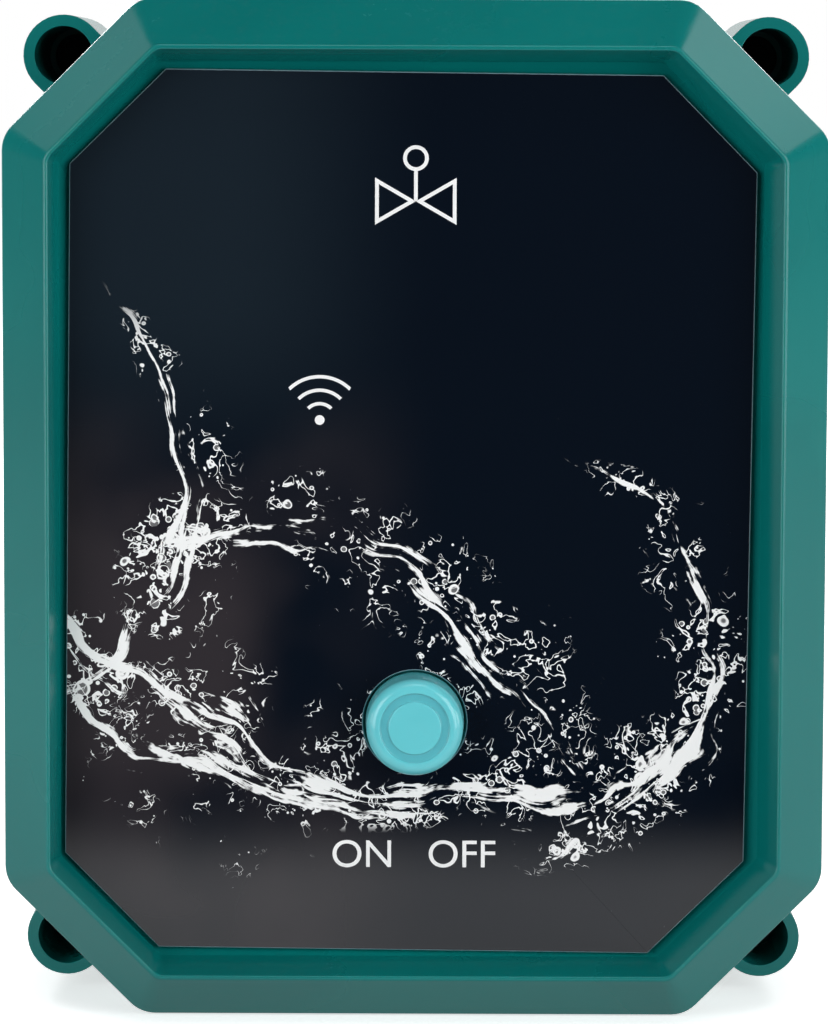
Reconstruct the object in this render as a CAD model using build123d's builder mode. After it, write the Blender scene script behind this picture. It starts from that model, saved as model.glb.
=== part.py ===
from build123d import *
import os
from math import acos, cos, pi, radians, sin, sqrt, tan

# A sealed control box with one push button on its face, carried by a motor-driven ball valve.
# X runs along the waterway, the box faces minus Y and Z is up. The origin is the centre of the ball.
# A reach is a distance forward of the waterway, towards the face of the box.

# General clearances and overruns
OVERRUN = 1.0
SLIP_GAP = 0.15
TURN_GAP = 0.05
SCREW_GAP = 0.05

# Box outline and depth
BOX_WIDTH = 110.0
BOX_HEIGHT = 136.3
CORNER_LEG = 18.2
OUTLINE_ROUND = 4.7

# Front cover
RIM_FALL = 7.8
CREST_INSET = 6.45
CREST_LAND = 0.5
CREST_ROUND = 2.2
LIP_FALL = 6.3
LIP_INSET = 8.2
LIP_ROUND = 1.0
LIP_SHIFT = -0.62
LIP_STEP = 1.0
COVER_SKIRT = 4.2
RIM_CORE_RISE = 2.8
RIM_CORE_INSET = 5.0
RIM_CORE_INNER = 5.6
COVER_FLOOR = 2.2

# Rear case
CASE_INSET = 1.0
CASE_WALL = 2.5
CASE_ROUND = 4.3
REAR_WALL = 3.0
GASKET_THICKNESS = 0.8
GASKET_INSET = 1.3
GASKET_WIDTH = 1.7
EAR_SIDE_INSET = 7.0
EAR_END_INSET = 7.45
EAR_RADIUS = 5.5
EAR_ROOT = 10.0
EAR_SETBACK = 16.8
EAR_BORE_RADIUS = 3.95
EAR_HOLE_RADIUS = 2.2
EAR_SEAT = 3.4

# Case screws and their columns
COLUMN_SIDE_INSET = 14.0
COLUMN_END_INSET = 18.15
COLUMN_WALL = 1.7
COLUMN_SPLIT = 12.0
CASE_SCREW_RADIUS = 1.5
CASE_SCREW_END = 4.0
CASE_HEAD_RADIUS = 2.9
CASE_HEAD_HEIGHT = 2.2
CASE_HEAD_SINK = 3.4
HEAD_SOCKET_RADIUS = 1.3
HEAD_SOCKET_DEPTH = 1.2

# Fascia panel
FASCIA_SIDE_GAP = 1.2
FASCIA_END_GAP = 1.1
FASCIA_ROUND = 0.3
FASCIA_THICKNESS = 0.8
FASCIA_TAPE = 0.15
FASCIA_X = -0.78
FASCIA_Z = -0.27
FASCIA_SKEW_ANGLE = -0.57
TAPE_MARGIN = 1.5
WINDOW_X = -12.7
WINDOW_DROP = 7.6
WINDOW_WIDTH = 12.0
WINDOW_HEIGHT = 8.5
WINDOW_LEDGE = 1.0

# Push button
BUTTON_X = 0.1
BUTTON_RISE = 40.05
BUTTON_RADIUS = 6.6
BUTTON_TAPER = 0.2
BUTTON_SHOULDER = 1.5
BUTTON_TRAVEL = 1.5
BUTTON_WALL = 1.4
BUTTON_POST_RADIUS = 2.2
BUTTON_FLANGE_LEDGE = 1.4
BUTTON_FLANGE = 1.2
BUTTON_RING_INSET = 1.96
BUTTON_RING_WIDTH = 1.12
BUTTON_RING_DEPTH = 0.35
FASCIA_BUTTON_GAP = 0.35
SEAL_THICKNESS = 0.8
SEAL_GAP = 0.1
GUIDE_WALL = 1.2
GUIDE_DEPTH = 4.6
SPRING_INSET = 1.8
SPRING_WIRE = 0.45
SPRING_TURNS = 3

# Circuit board and what it carries
BOARD_COLUMN_GAP = 1.4
BOARD_BOTTOM_GAP = 12.15
BOARD_MOTOR_GAP = 1.0
BOARD_THICKNESS = 1.6
PART_SPACE = 16.0
BOARD_SCREW_INSET = 4.0
BOARD_BOSS_RADIUS = 3.2
BOARD_SCREW_RADIUS = 1.25
BOARD_SCREW_BITE = 4.5
BOARD_HEAD_RADIUS = 2.4
BOARD_HEAD_HEIGHT = 1.7
BOARD_ROUND = 2.0
SWITCH_SIDE = 6.0
SWITCH_HEIGHT = 2.5
SWITCH_BASE = 0.5
SWITCH_SPARE = 0.3
PLUNGER_RADIUS = 1.6
PLUNGER_REST_GAP = 0.05
LED_PITCH = 3.2
LED_WIDTH = 1.6
LED_HEIGHT = 0.8
MODULE_SIDE = 12.0
MODULE_RISE = 20.0
MODULE_WIDTH = 16.0
MODULE_LENGTH = 24.0
MODULE_THICKNESS = 0.8
SHIELD_WIDTH = 13.0
SHIELD_LENGTH = 15.5
SHIELD_HEIGHT = 2.2
SHIELD_WALL = 0.3
SHIELD_SHIFT = -3.0
TERMINAL_SIDE = 15.0
TERMINAL_RISE = 10.0
TERMINAL_WIDTH = 15.2
TERMINAL_DEPTH = 8.0
TERMINAL_HEIGHT = 10.0
TERMINAL_PITCH = 5.08
TERMINAL_MOUTH = 3.4
TERMINAL_MOUTH_DEPTH = 6.0
CAPACITOR_SIDE = 13.0
CAPACITOR_RISE = 18.0
CAPACITOR_RADIUS = 5.0
CAPACITOR_HEIGHT = 12.0
CAPACITOR_ROUND = 0.8
DRIVER_RISE = 16.0
DRIVER_WIDTH = 5.0
DRIVER_LENGTH = 6.2
DRIVER_HEIGHT = 1.6
RELAY_SIDE = 11.0
RELAY_DROP = 32.0
RELAY_WIDTH = 10.0
RELAY_LENGTH = 15.0
RELAY_HEIGHT = 10.0
RELAY_ROUND = 0.6
PLUG_SIDE = 11.0
PLUG_DROP = 10.0
PLUG_WIDTH = 7.5
PLUG_DEPTH = 5.8
PLUG_HEIGHT = 6.0
PLUG_WALL = 0.8

# Gear train
DRIVE_MODULE = 1.0
DRIVE_TEETH = 48
IDLER_SMALL_TEETH = 12
MOTOR_MODULE = 0.8
IDLER_LARGE_TEETH = 36
PINION_TEETH = 12
PRESSURE_ANGLE = 20.0
TOOTH_SHIFT_SHARE = 0.3
ROOT_SHARE = 1.25
FLANK_STEPS = 4
BACKLASH = 0.12
OUTPUT_BACK_GAP = 0.6
OUTPUT_FACE = 6.0
OUTPUT_HUB_WALL = 2.0
OUTPUT_JOURNAL_WALL = 2.0
OUTPUT_WEB = 3.0
OUTPUT_WEB_RIM = 4.0
IDLER_GAP = 0.5
IDLER_LARGE_FACE = 3.8
IDLER_HUB_RADIUS = 3.2
IDLER_PIN_RADIUS = 1.5
IDLER_BOSS_RADIUS = 3.2
IDLER_BOSS_HEIGHT = 2.5
AXIAL_GAP = 0.3
MAGNET_RADIUS = 1.5
MAGNET_DEPTH = 2.0
MAGNET_SETBACK = 6.0
SENSOR_WIDTH = 4.2
SENSOR_LENGTH = 3.2
SENSOR_HEIGHT = 1.5

# Gear plate and motor
PLATE_SPACE = 15.5
PLATE_THICKNESS = 2.0
PLATE_SIDE_MARGIN = 10.0
PLATE_RISE = 21.0
PLATE_SHORTFALL = 1.0
PLATE_ROUND = 5.0
PILLAR_INSET = 5.0
PILLAR_RADIUS = 3.5
PLATE_SCREW_RADIUS = 1.5
PLATE_SCREW_BITE = 8.0
PLATE_HEAD_RADIUS = 2.75
PLATE_HEAD_HEIGHT = 2.0
BUSH_WALL = 2.0
BUSH_FLANGE_LEDGE = 1.5
BUSH_FLANGE = 1.0
HUB_SCREW_RADIUS = 1.25
HUB_SCREW_LENGTH = 6.0
HUB_HEAD_RADIUS = 4.6
HUB_HEAD_HEIGHT = 2.0
MOTOR_WIDTH = 12.0
MOTOR_THICKNESS = 10.0
GEARBOX_LENGTH = 9.0
MOTOR_END_GAP = 1.0
MOTOR_SHAFT_RADIUS = 1.5
MOTOR_BOSS_RADIUS = 2.2
MOTOR_SCREW_SPACING = 9.0
MOTOR_SCREW_RADIUS = 0.8
MOTOR_SCREW_LENGTH = 4.0
MOTOR_HEAD_RADIUS = 1.45
MOTOR_HEAD_HEIGHT = 0.9

# Valve
PAD_BARREL_GAP = 1.5
PAD_GASKET = 1.0
PAD_SCREW_EDGE = 5.0
PAD_THICKNESS = 6.0
PAD_ROUND = 4.0
PAD_SCREW_SPACING = 31.0
PAD_SCREW_RADIUS = 2.0
PAD_SCREW_BITE = 5.0
PAD_HEAD_RADIUS = 3.8
PAD_HEAD_HEIGHT = 2.4
NECK_RADIUS = 14.0
SPIGOT_RADIUS = 10.0
WATERWAY_RADIUS = 9.5
BALL_WALL = 5.0
SEAT_WALL = 4.0
SEAT_LENGTH = 5.5
SEAT_GAP = 0.1
CAVITY_GAP = 0.7
CAVITY_END_GAP = 0.2
NOSE_WALL = 2.95
NOSE_GAP = 0.1
BARREL_WALL = 2.9
BARREL_END_WALL = 2.5
BARREL_CHAMFER = 1.5
ADAPTER_GRIP = 9.8
SLOT_WIDTH = 5.0
SLOT_WEB = 1.4
PIPE_WALL = 3.72
HEX_SHOULDER = 2.78
HEX_LENGTH = 7.2
THREAD_LENGTH = 13.0
THREAD_DEPTH = 1.16
THREAD_PITCH = 1.814
THREAD_LAND_SHARE = 0.3
THREAD_ROOT_SHARE = 0.2
THREAD_CHAMFER = 1.2
ADAPTER_GASKET = 0.8
STEM_RADIUS = 4.0
STEM_COLLAR_LEDGE = 2.0
STEM_COLLAR = 2.2
STEM_COLLAR_GAP = 0.8
STEM_FLAT_DEPTH = 1.0
STEM_TANG_LENGTH = 8.0
STEM_TANG_GAP = 0.2
THRUST_WASHER = 0.7
RING_GROOVE_DEPTH = 1.1
RING_GROOVE_WIDTH = 1.5
RING_FIT = 0.025
RING_OFFSET = 2.8
RING_SPACING = 4.0

# Cable gland
GLAND_SIDE = 30.0
GLAND_RISE = 20.15
GLAND_THREAD_RADIUS = 8.0
GLAND_HEX = 19.0
GLAND_HEX_LENGTH = 5.0
GLAND_BORE_RADIUS = 5.2
GLAND_NUT_LENGTH = 11.0
GLAND_NUT_ROUND = 3.0
GLAND_SEAL_RADIUS = 6.4
GLAND_SEAL_LENGTH = 7.0
GLAND_CABLE_RADIUS = 3.0
GLAND_MOUTH_RADIUS = 4.4
GLAND_LIP = 1.5
GLAND_TAIL_RADIUS = 7.2
GLAND_LOCK_HEX = 20.0
GLAND_LOCK_LENGTH = 3.0

# Valve sizes worked out from the waterway outwards
BALL_RADIUS = WATERWAY_RADIUS + BALL_WALL
SEAT_RADIUS = WATERWAY_RADIUS + SEAT_WALL
SEAT_OUTER = BALL_RADIUS
SEAT_INNER = SEAT_OUTER - SEAT_LENGTH
SEAT_POCKET_RADIUS = SEAT_RADIUS + SCREW_GAP
CAVITY_RADIUS = BALL_RADIUS + CAVITY_GAP
CAVITY_HALF = SEAT_INNER + CAVITY_END_GAP
ADAPTER_NOSE_RADIUS = SEAT_POCKET_RADIUS + NOSE_WALL
ADAPTER_BORE_RADIUS = ADAPTER_NOSE_RADIUS + NOSE_GAP
BARREL_RADIUS = ADAPTER_BORE_RADIUS + BARREL_WALL
BARREL_BACK = -SEAT_OUTER - BARREL_END_WALL
BARREL_FRONT = CAVITY_HALF + ADAPTER_GRIP
SLOT_FLOOR = WATERWAY_RADIUS + SLOT_WEB
THREAD_RADIUS = WATERWAY_RADIUS + PIPE_WALL
HEX_ACROSS = 2 * (THREAD_RADIUS + HEX_SHOULDER)
HEX_END = BARREL_FRONT + ADAPTER_GASKET + HEX_LENGTH
VALVE_HALF_LENGTH = HEX_END + THREAD_LENGTH
PAD_FRONT = BARREL_RADIUS + PAD_BARREL_GAP + PAD_THICKNESS
PAD_REACH = PAD_FRONT + PAD_GASKET
PAD_SIDE = PAD_SCREW_SPACING + 2 * PAD_SCREW_EDGE
STEM_COLLAR_RADIUS = STEM_RADIUS + STEM_COLLAR_LEDGE
STEM_COLLAR_BACK = BALL_RADIUS + STEM_COLLAR_GAP
COLLAR_FRONT = STEM_COLLAR_BACK + STEM_COLLAR
STEM_FLAT_HALF = STEM_RADIUS - STEM_FLAT_DEPTH
RING_GROOVE_RADIUS = STEM_RADIUS - RING_GROOVE_DEPTH
RING_WIRE_RADIUS = (STEM_RADIUS + TURN_GAP - RING_GROOVE_RADIUS) / 2 - RING_FIT
RING_FIRST = COLLAR_FRONT + THRUST_WASHER + RING_OFFSET
RING_SECOND = RING_FIRST + RING_SPACING

# Drive sizes worked out from the stem and the gears
OUTPUT_JOURNAL_RADIUS = STEM_RADIUS + OUTPUT_JOURNAL_WALL
OUTPUT_HUB_RADIUS = OUTPUT_JOURNAL_RADIUS + OUTPUT_HUB_WALL
BUSH_RADIUS = OUTPUT_JOURNAL_RADIUS + BUSH_WALL
DRIVE_RADIUS = DRIVE_MODULE * DRIVE_TEETH / 2
IDLER_Z = DRIVE_MODULE * (DRIVE_TEETH + IDLER_SMALL_TEETH) / 2
MOTOR_X = MOTOR_MODULE * (IDLER_LARGE_TEETH + PINION_TEETH) / 2
PLATE_WIDTH = 2 * (DRIVE_RADIUS + PLATE_SIDE_MARGIN)
PLATE_TOP = IDLER_Z + PLATE_RISE
PLATE_BOTTOM = PLATE_SHORTFALL - DRIVE_RADIUS

# Depths worked out from the back of the box to its crest
REAR_REACH = PAD_REACH
INSIDE_REACH = REAR_REACH + REAR_WALL
OUTPUT_BACK = INSIDE_REACH + PAD_HEAD_HEIGHT + OUTPUT_BACK_GAP
OUTPUT_FRONT = OUTPUT_BACK + OUTPUT_FACE
LARGE_BACK = OUTPUT_FRONT + 2 * IDLER_GAP
LARGE_FRONT = LARGE_BACK + IDLER_LARGE_FACE
PLATE_BACK = INSIDE_REACH + PLATE_SPACE
PLATE_FRONT = PLATE_BACK + PLATE_THICKNESS
HUB_FRONT = PLATE_FRONT + OVERRUN
BOARD_BACK = PLATE_FRONT + PART_SPACE
BOARD_FRONT = BOARD_BACK + BOARD_THICKNESS
FLANGE_BACK = BOARD_FRONT + SWITCH_HEIGHT + SWITCH_SPARE + BUTTON_TRAVEL
FLANGE_FRONT = FLANGE_BACK + BUTTON_FLANGE
SEAL_BACK = FLANGE_FRONT + SEAL_GAP
FLOOR_BACK = SEAL_BACK + SEAL_THICKNESS
FLOOR_REACH = FLOOR_BACK + COVER_FLOOR
TAPE_REACH = FLOOR_REACH + FASCIA_TAPE
FASCIA_REACH = TAPE_REACH + FASCIA_THICKNESS
LIP_REACH = FLOOR_REACH + LIP_STEP
CREST_REACH = LIP_REACH + LIP_FALL
OUTLINE_REACH = CREST_REACH - RIM_FALL
COVER_BACK = OUTLINE_REACH - COVER_SKIRT
CASE_FRONT = COVER_BACK - GASKET_THICKNESS
EAR_FACE = OUTLINE_REACH - EAR_SETBACK
SPLIT_REACH = FLOOR_BACK - COLUMN_SPLIT

# Widths and heights worked out from the outline of the box
BOX_BOTTOM = -BOX_HEIGHT / 2
COLUMN_RADIUS = CASE_HEAD_RADIUS + COLUMN_WALL
COLUMN_X = BOX_WIDTH / 2 - COLUMN_SIDE_INSET
COLUMN_Z = BOX_HEIGHT / 2 - COLUMN_END_INSET
FASCIA_WIDTH = BOX_WIDTH - 2 * LIP_INSET - 2 * FASCIA_SIDE_GAP
FASCIA_HEIGHT = BOX_HEIGHT - 2 * LIP_INSET - 2 * FASCIA_END_GAP
FASCIA_LEG = CORNER_LEG - (LIP_INSET + FASCIA_SIDE_GAP) * (2 - sqrt(2))
BUTTON_FLANGE_RADIUS = BUTTON_RADIUS + BUTTON_FLANGE_LEDGE
BOARD_WIDTH = 2 * (COLUMN_X - COLUMN_RADIUS - BOARD_COLUMN_GAP)
BOARD_BOTTOM = BOX_BOTTOM + BOARD_BOTTOM_GAP
BOARD_TOP = IDLER_Z - MOTOR_THICKNESS / 2 - BOARD_MOTOR_GAP
BOARD_Z = (BOARD_TOP + BOARD_BOTTOM) / 2

# Places worked out from the sizes above
SIGNS = [(side, end) for side in (-1, 1) for end in (-1, 1)]
EAR_X = BOX_WIDTH / 2 - EAR_SIDE_INSET
EAR_Z = BOX_HEIGHT / 2 - EAR_END_INSET
EARS = [(side * EAR_X, end * EAR_Z) for side, end in SIGNS]
COLUMNS = [(side * COLUMN_X, end * COLUMN_Z) for side, end in SIGNS]
PAD_SCREWS = [(side * PAD_SCREW_SPACING / 2, end * PAD_SCREW_SPACING / 2) for side, end in SIGNS]
PILLARS = [
    (side * (PLATE_WIDTH / 2 - PILLAR_INSET), z)
    for side in (-1, 1)
    for z in (PLATE_BOTTOM + PILLAR_INSET, PLATE_TOP - PILLAR_INSET)
]
BOARD_SCREWS = [
    (side * (BOARD_WIDTH / 2 - BOARD_SCREW_INSET), z)
    for side in (-1, 1)
    for z in (BOARD_BOTTOM + BOARD_SCREW_INSET, BOARD_TOP - BOARD_SCREW_INSET)
]
MAGNET_ORBIT = DRIVE_RADIUS - MAGNET_SETBACK
SENSORS = [(0, -MAGNET_ORBIT), (-MAGNET_ORBIT, 0)]
IDLER = (0, IDLER_Z)
MOTOR = (MOTOR_X, IDLER_Z)
MOTOR_SCREWS = [(MOTOR_X + side * MOTOR_SCREW_SPACING / 2, IDLER_Z) for side in (-1, 1)]
BUTTON = (BUTTON_X, BOX_BOTTOM + BUTTON_RISE)
WINDOW = (WINDOW_X, BOARD_TOP - WINDOW_DROP)
GLAND = (BOX_WIDTH / 2 - GLAND_SIDE, BOX_BOTTOM + GLAND_RISE)
MODULE = (MODULE_SIDE - BOARD_WIDTH / 2, BOARD_BOTTOM + MODULE_RISE)
CAPACITOR = (CAPACITOR_SIDE - BOARD_WIDTH / 2, BOARD_BOTTOM + CAPACITOR_RISE)
RELAY = (RELAY_SIDE - BOARD_WIDTH / 2, BOARD_TOP - RELAY_DROP)
TERMINAL = (BOARD_WIDTH / 2 - TERMINAL_SIDE, BOARD_BOTTOM + TERMINAL_RISE)
PLUG = (BOARD_WIDTH / 2 - PLUG_SIDE, BOARD_TOP - PLUG_DROP)


def octagon(reach, inset, corner, shift=0):
    """Outline of the box, drawn evenly inside its widest edge."""
    with BuildSketch(Plane.XZ.offset(reach)) as outline:
        with Locations((shift, 0)):
            Rectangle(BOX_WIDTH - 2 * inset, BOX_HEIGHT - 2 * inset)
        chamfer(outline.vertices(), CORNER_LEG - inset * (2 - sqrt(2)))
        fillet(outline.vertices(), corner)
    return outline.sketch


def rounds(places, radius, start, end, mode=Mode.ADD):
    """Round bars or holes at (x, z) places, from one reach to another."""
    with BuildSketch(Plane.XZ.offset(start)) as section:
        with Locations(*places):
            Circle(radius)
    extrude(section.sketch, amount=end - start, mode=mode)


def blocks(places, width, height, start, end, corner=0, mode=Mode.ADD):
    """Square-edged bars or holes at (x, z) places, from one reach to another."""
    with BuildSketch(Plane.XZ.offset(start)) as section:
        with Locations(*places):
            Rectangle(width, height)
        if corner:
            fillet(section.vertices(), corner)
    extrude(section.sketch, amount=end - start, mode=mode)


def nuts(place, across, start, end, mode=Mode.ADD):
    """A hexagonal bar on an axis that runs from back to front."""
    with BuildSketch(Plane.XZ.offset(start)) as section:
        with Locations(place):
            RegularPolygon(across / 2, 6, major_radius=False)
    extrude(section.sketch, amount=end - start, mode=mode)


def turned(place, points, mode=Mode.ADD):
    """A shape turned about an axis from back to front, from (radius, reach) points."""
    x, z = place
    with BuildSketch(Plane(origin=(x, 0, z), x_dir=(1, 0, 0), z_dir=(0, 0, -1))) as section:
        with BuildLine():
            Polyline(*points, close=True)
        make_face()
    revolve(section.sketch, axis=Axis((x, 0, z), (0, 1, 0)), mode=mode)


def turned_along(points, mode=Mode.ADD):
    """A shape turned about the waterway, from (x, radius) points."""
    with BuildSketch(Plane.XY) as section:
        with BuildLine():
            Polyline(*points, close=True)
        make_face()
    revolve(section.sketch, axis=Axis.X, mode=mode)


def screws(places, seat, shank_radius, length, head_radius, head_height, forward):
    """Pan-head screws on a seat, their shanks pointing forward or back."""
    rounds(places, shank_radius, seat, seat + forward * length)
    rounds(places, head_radius, seat, seat - forward * head_height)
    socket_floor = seat - forward * (head_height - HEAD_SOCKET_DEPTH * head_height / CASE_HEAD_HEIGHT)
    socket_radius = HEAD_SOCKET_RADIUS * head_radius / CASE_HEAD_RADIUS
    rounds(places, socket_radius, socket_floor, seat - forward * head_height, Mode.SUBTRACT)


def flank_angle(radius, teeth, module, shift):
    """Half the angle that a tooth fills at a radius, by the involute formula."""
    pressure = radians(PRESSURE_ANGLE)
    pitch_radius = module * teeth / 2
    base_radius = pitch_radius * cos(pressure)
    local = acos(min(1, base_radius / radius))
    half = pi / (2 * teeth) + 2 * shift * tan(pressure) / teeth - BACKLASH / (4 * pitch_radius)
    return half + tan(pressure) - pressure - tan(local) + local


def gear(place, teeth, module, shift, start, end, turn):
    """A spur gear with one tooth centred at the turn, an angle in degrees from plus X."""
    x, z = place
    pitch_radius = module * teeth / 2
    tip = pitch_radius + module * (1 + shift)
    root = pitch_radius - module * (ROOT_SHARE - shift)
    foot = max(root, pitch_radius * cos(radians(PRESSURE_ANGLE)))
    radii = [foot + (tip - foot) * step / FLANK_STEPS for step in range(FLANK_STEPS + 1)]
    if root < foot:
        radii.insert(0, root)
    outline = []
    for tooth in range(teeth):
        middle = radians(turn) + 2 * pi * tooth / teeth
        flank = [(radius, flank_angle(max(radius, foot), teeth, module, shift)) for radius in radii]
        rising = [(radius, middle - half) for radius, half in flank]
        falling = [(radius, middle + half) for radius, half in reversed(flank)]
        outline += [(x + r * cos(a), z + r * sin(a)) for r, a in rising + falling]
    with BuildSketch(Plane.XZ.offset(start)) as section:
        with BuildLine():
            Polyline(*outline, close=True)
        make_face()
    extrude(section.sketch, amount=end - start)


def pipe_thread(side):
    """Outline of a threaded pipe end and its plain run to the hexagon, as (x, radius) points."""
    root_radius = THREAD_RADIUS - THREAD_DEPTH
    land = THREAD_PITCH * THREAD_LAND_SHARE
    slope = THREAD_PITCH * (1 - THREAD_LAND_SHARE - THREAD_ROOT_SHARE) / 2
    x = VALVE_HALF_LENGTH - THREAD_CHAMFER
    points = [(VALVE_HALF_LENGTH, 0), (VALVE_HALF_LENGTH, THREAD_RADIUS - THREAD_CHAMFER)]
    points.append((x, THREAD_RADIUS))
    while x - THREAD_PITCH > HEX_END:
        points.append((x - land, THREAD_RADIUS))
        points.append((x - land - slope, root_radius))
        points.append((x - THREAD_PITCH + slope, root_radius))
        x -= THREAD_PITCH
        points.append((x, THREAD_RADIUS))
    points += [(HEX_END, THREAD_RADIUS), (HEX_END, 0)]
    return [(side * along, radius) for along, radius in points]


def finish(piece, name):
    """Label a finished piece and write it."""
    piece.part.label = name
    export_step(piece.part, f"parts/{name}.step")


os.makedirs("parts", exist_ok=True)

# Rim core: the hollow inside the cover's rim, open behind
with BuildPart() as rim_core:
    loft(
        [
            octagon(FLOOR_BACK, GASKET_INSET + GASKET_WIDTH, CREST_ROUND),
            octagon(OUTLINE_REACH + RIM_CORE_RISE, RIM_CORE_INSET, CREST_ROUND),
        ],
        ruled=True,
    )
    extrude(
        octagon(FLOOR_BACK, RIM_CORE_INNER, LIP_ROUND),
        amount=OUTLINE_REACH + RIM_CORE_RISE - FLOOR_BACK,
        mode=Mode.SUBTRACT,
    )

# Front cover: a raised picture-frame rim round a sunk floor, cored from behind
with BuildPart() as front_cover:
    extrude(octagon(COVER_BACK, 0, OUTLINE_ROUND), amount=COVER_SKIRT)
    loft(
        [
            octagon(OUTLINE_REACH, 0, OUTLINE_ROUND),
            octagon(CREST_REACH, CREST_INSET - CREST_LAND / 2, CREST_ROUND),
        ],
        ruled=True,
    )
    loft(
        [
            octagon(CREST_REACH, CREST_INSET + CREST_LAND / 2, CREST_ROUND),
            octagon(LIP_REACH, LIP_INSET, LIP_ROUND, LIP_SHIFT),
        ],
        ruled=True,
        mode=Mode.SUBTRACT,
    )
    extrude(
        octagon(FLOOR_REACH, LIP_INSET, LIP_ROUND, LIP_SHIFT),
        amount=LIP_STEP,
        mode=Mode.SUBTRACT,
    )
    extrude(
        octagon(COVER_BACK, GASKET_INSET + GASKET_WIDTH, CREST_ROUND),
        amount=FLOOR_BACK - COVER_BACK,
        mode=Mode.SUBTRACT,
    )
    add(rim_core.part, mode=Mode.SUBTRACT)
    rounds(COLUMNS, COLUMN_RADIUS, SPLIT_REACH, FLOOR_BACK)
    rounds(
        COLUMNS,
        CASE_SCREW_RADIUS + SCREW_GAP,
        SPLIT_REACH,
        FLOOR_BACK - CASE_SCREW_END + SCREW_GAP,
        Mode.SUBTRACT,
    )
    rounds(BOARD_SCREWS, BOARD_BOSS_RADIUS, BOARD_FRONT, FLOOR_BACK)
    rounds(
        BOARD_SCREWS,
        BOARD_SCREW_RADIUS + SCREW_GAP,
        BOARD_FRONT,
        BOARD_FRONT + BOARD_SCREW_BITE + SCREW_GAP,
        Mode.SUBTRACT,
    )
    guide_radius = BUTTON_FLANGE_RADIUS + SLIP_GAP
    rounds([BUTTON], guide_radius + GUIDE_WALL, FLOOR_BACK - GUIDE_DEPTH, FLOOR_BACK)
    rounds([BUTTON], guide_radius, FLOOR_BACK - GUIDE_DEPTH, FLOOR_BACK, Mode.SUBTRACT)
    rounds([BUTTON], BUTTON_RADIUS + SLIP_GAP, FLOOR_BACK, FLOOR_REACH, Mode.SUBTRACT)
    blocks([WINDOW], WINDOW_WIDTH, WINDOW_HEIGHT, FLOOR_BACK, FLOOR_REACH, mode=Mode.SUBTRACT)
finish(front_cover, "front_cover")

# Cover gasket: a flat rubber ring clamped between the case's edge and the cover
with BuildPart() as cover_gasket:
    extrude(octagon(CASE_FRONT, GASKET_INSET, OUTLINE_ROUND), amount=GASKET_THICKNESS)
    extrude(
        octagon(CASE_FRONT, GASKET_INSET + GASKET_WIDTH, CREST_ROUND),
        amount=GASKET_THICKNESS,
        mode=Mode.SUBTRACT,
    )
finish(cover_gasket, "cover_gasket")

# Rear case: a deep tray with a mounting ear on each cut corner
with BuildPart() as rear_case:
    extrude(octagon(REAR_REACH, CASE_INSET, CASE_ROUND), amount=CASE_FRONT - REAR_REACH)
    for ear_x, ear_z in EARS:
        lean_x = EAR_ROOT / sqrt(2) * ear_x / abs(ear_x)
        lean_z = EAR_ROOT / sqrt(2) * ear_z / abs(ear_z)
        with BuildSketch(Plane.XZ.offset(REAR_REACH)):
            with Locations((ear_x - lean_x / 2, ear_z - lean_z / 2)):
                SlotCenterToCenter(EAR_ROOT, 2 * EAR_RADIUS, rotation=45 if ear_x * ear_z > 0 else -45)
        extrude(amount=EAR_FACE - REAR_REACH)
    extrude(
        octagon(INSIDE_REACH, CASE_INSET + CASE_WALL, CREST_ROUND),
        amount=CASE_FRONT - INSIDE_REACH,
        mode=Mode.SUBTRACT,
    )
    rounds(EARS, EAR_BORE_RADIUS, REAR_REACH + EAR_SEAT, EAR_FACE, Mode.SUBTRACT)
    rounds(EARS, EAR_HOLE_RADIUS, REAR_REACH, REAR_REACH + EAR_SEAT, Mode.SUBTRACT)
    rounds(COLUMNS, COLUMN_RADIUS, INSIDE_REACH, SPLIT_REACH)
    rounds(COLUMNS, CASE_SCREW_RADIUS + SLIP_GAP, REAR_REACH, SPLIT_REACH, Mode.SUBTRACT)
    rounds(COLUMNS, CASE_HEAD_RADIUS + SLIP_GAP, REAR_REACH, REAR_REACH + CASE_HEAD_SINK, Mode.SUBTRACT)
    rounds(PILLARS, PILLAR_RADIUS, INSIDE_REACH, PLATE_BACK)
    rounds(
        PILLARS,
        PLATE_SCREW_RADIUS + SCREW_GAP,
        PLATE_FRONT - PLATE_SCREW_BITE - SCREW_GAP,
        PLATE_BACK,
        Mode.SUBTRACT,
    )
    rounds([IDLER], IDLER_BOSS_RADIUS, INSIDE_REACH, INSIDE_REACH + IDLER_BOSS_HEIGHT)
    rounds([IDLER], IDLER_PIN_RADIUS, INSIDE_REACH, INSIDE_REACH + IDLER_BOSS_HEIGHT, Mode.SUBTRACT)
    rounds([(0, 0)], SPIGOT_RADIUS + SLIP_GAP, REAR_REACH, INSIDE_REACH, Mode.SUBTRACT)
    rounds(PAD_SCREWS, PAD_SCREW_RADIUS + SLIP_GAP, REAR_REACH, INSIDE_REACH, Mode.SUBTRACT)
    rounds([GLAND], GLAND_THREAD_RADIUS + SLIP_GAP, REAR_REACH, INSIDE_REACH, Mode.SUBTRACT)
finish(rear_case, "rear_case")

# Case screws: put in from behind, through the case's columns into the cover's bosses
with BuildPart() as case_screws:
    screw_length = FLOOR_BACK - CASE_SCREW_END - REAR_REACH - CASE_HEAD_SINK
    screws(
        COLUMNS,
        REAR_REACH + CASE_HEAD_SINK,
        CASE_SCREW_RADIUS,
        screw_length,
        CASE_HEAD_RADIUS,
        CASE_HEAD_HEIGHT,
        1,
    )
finish(case_screws, "case_screws")


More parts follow.
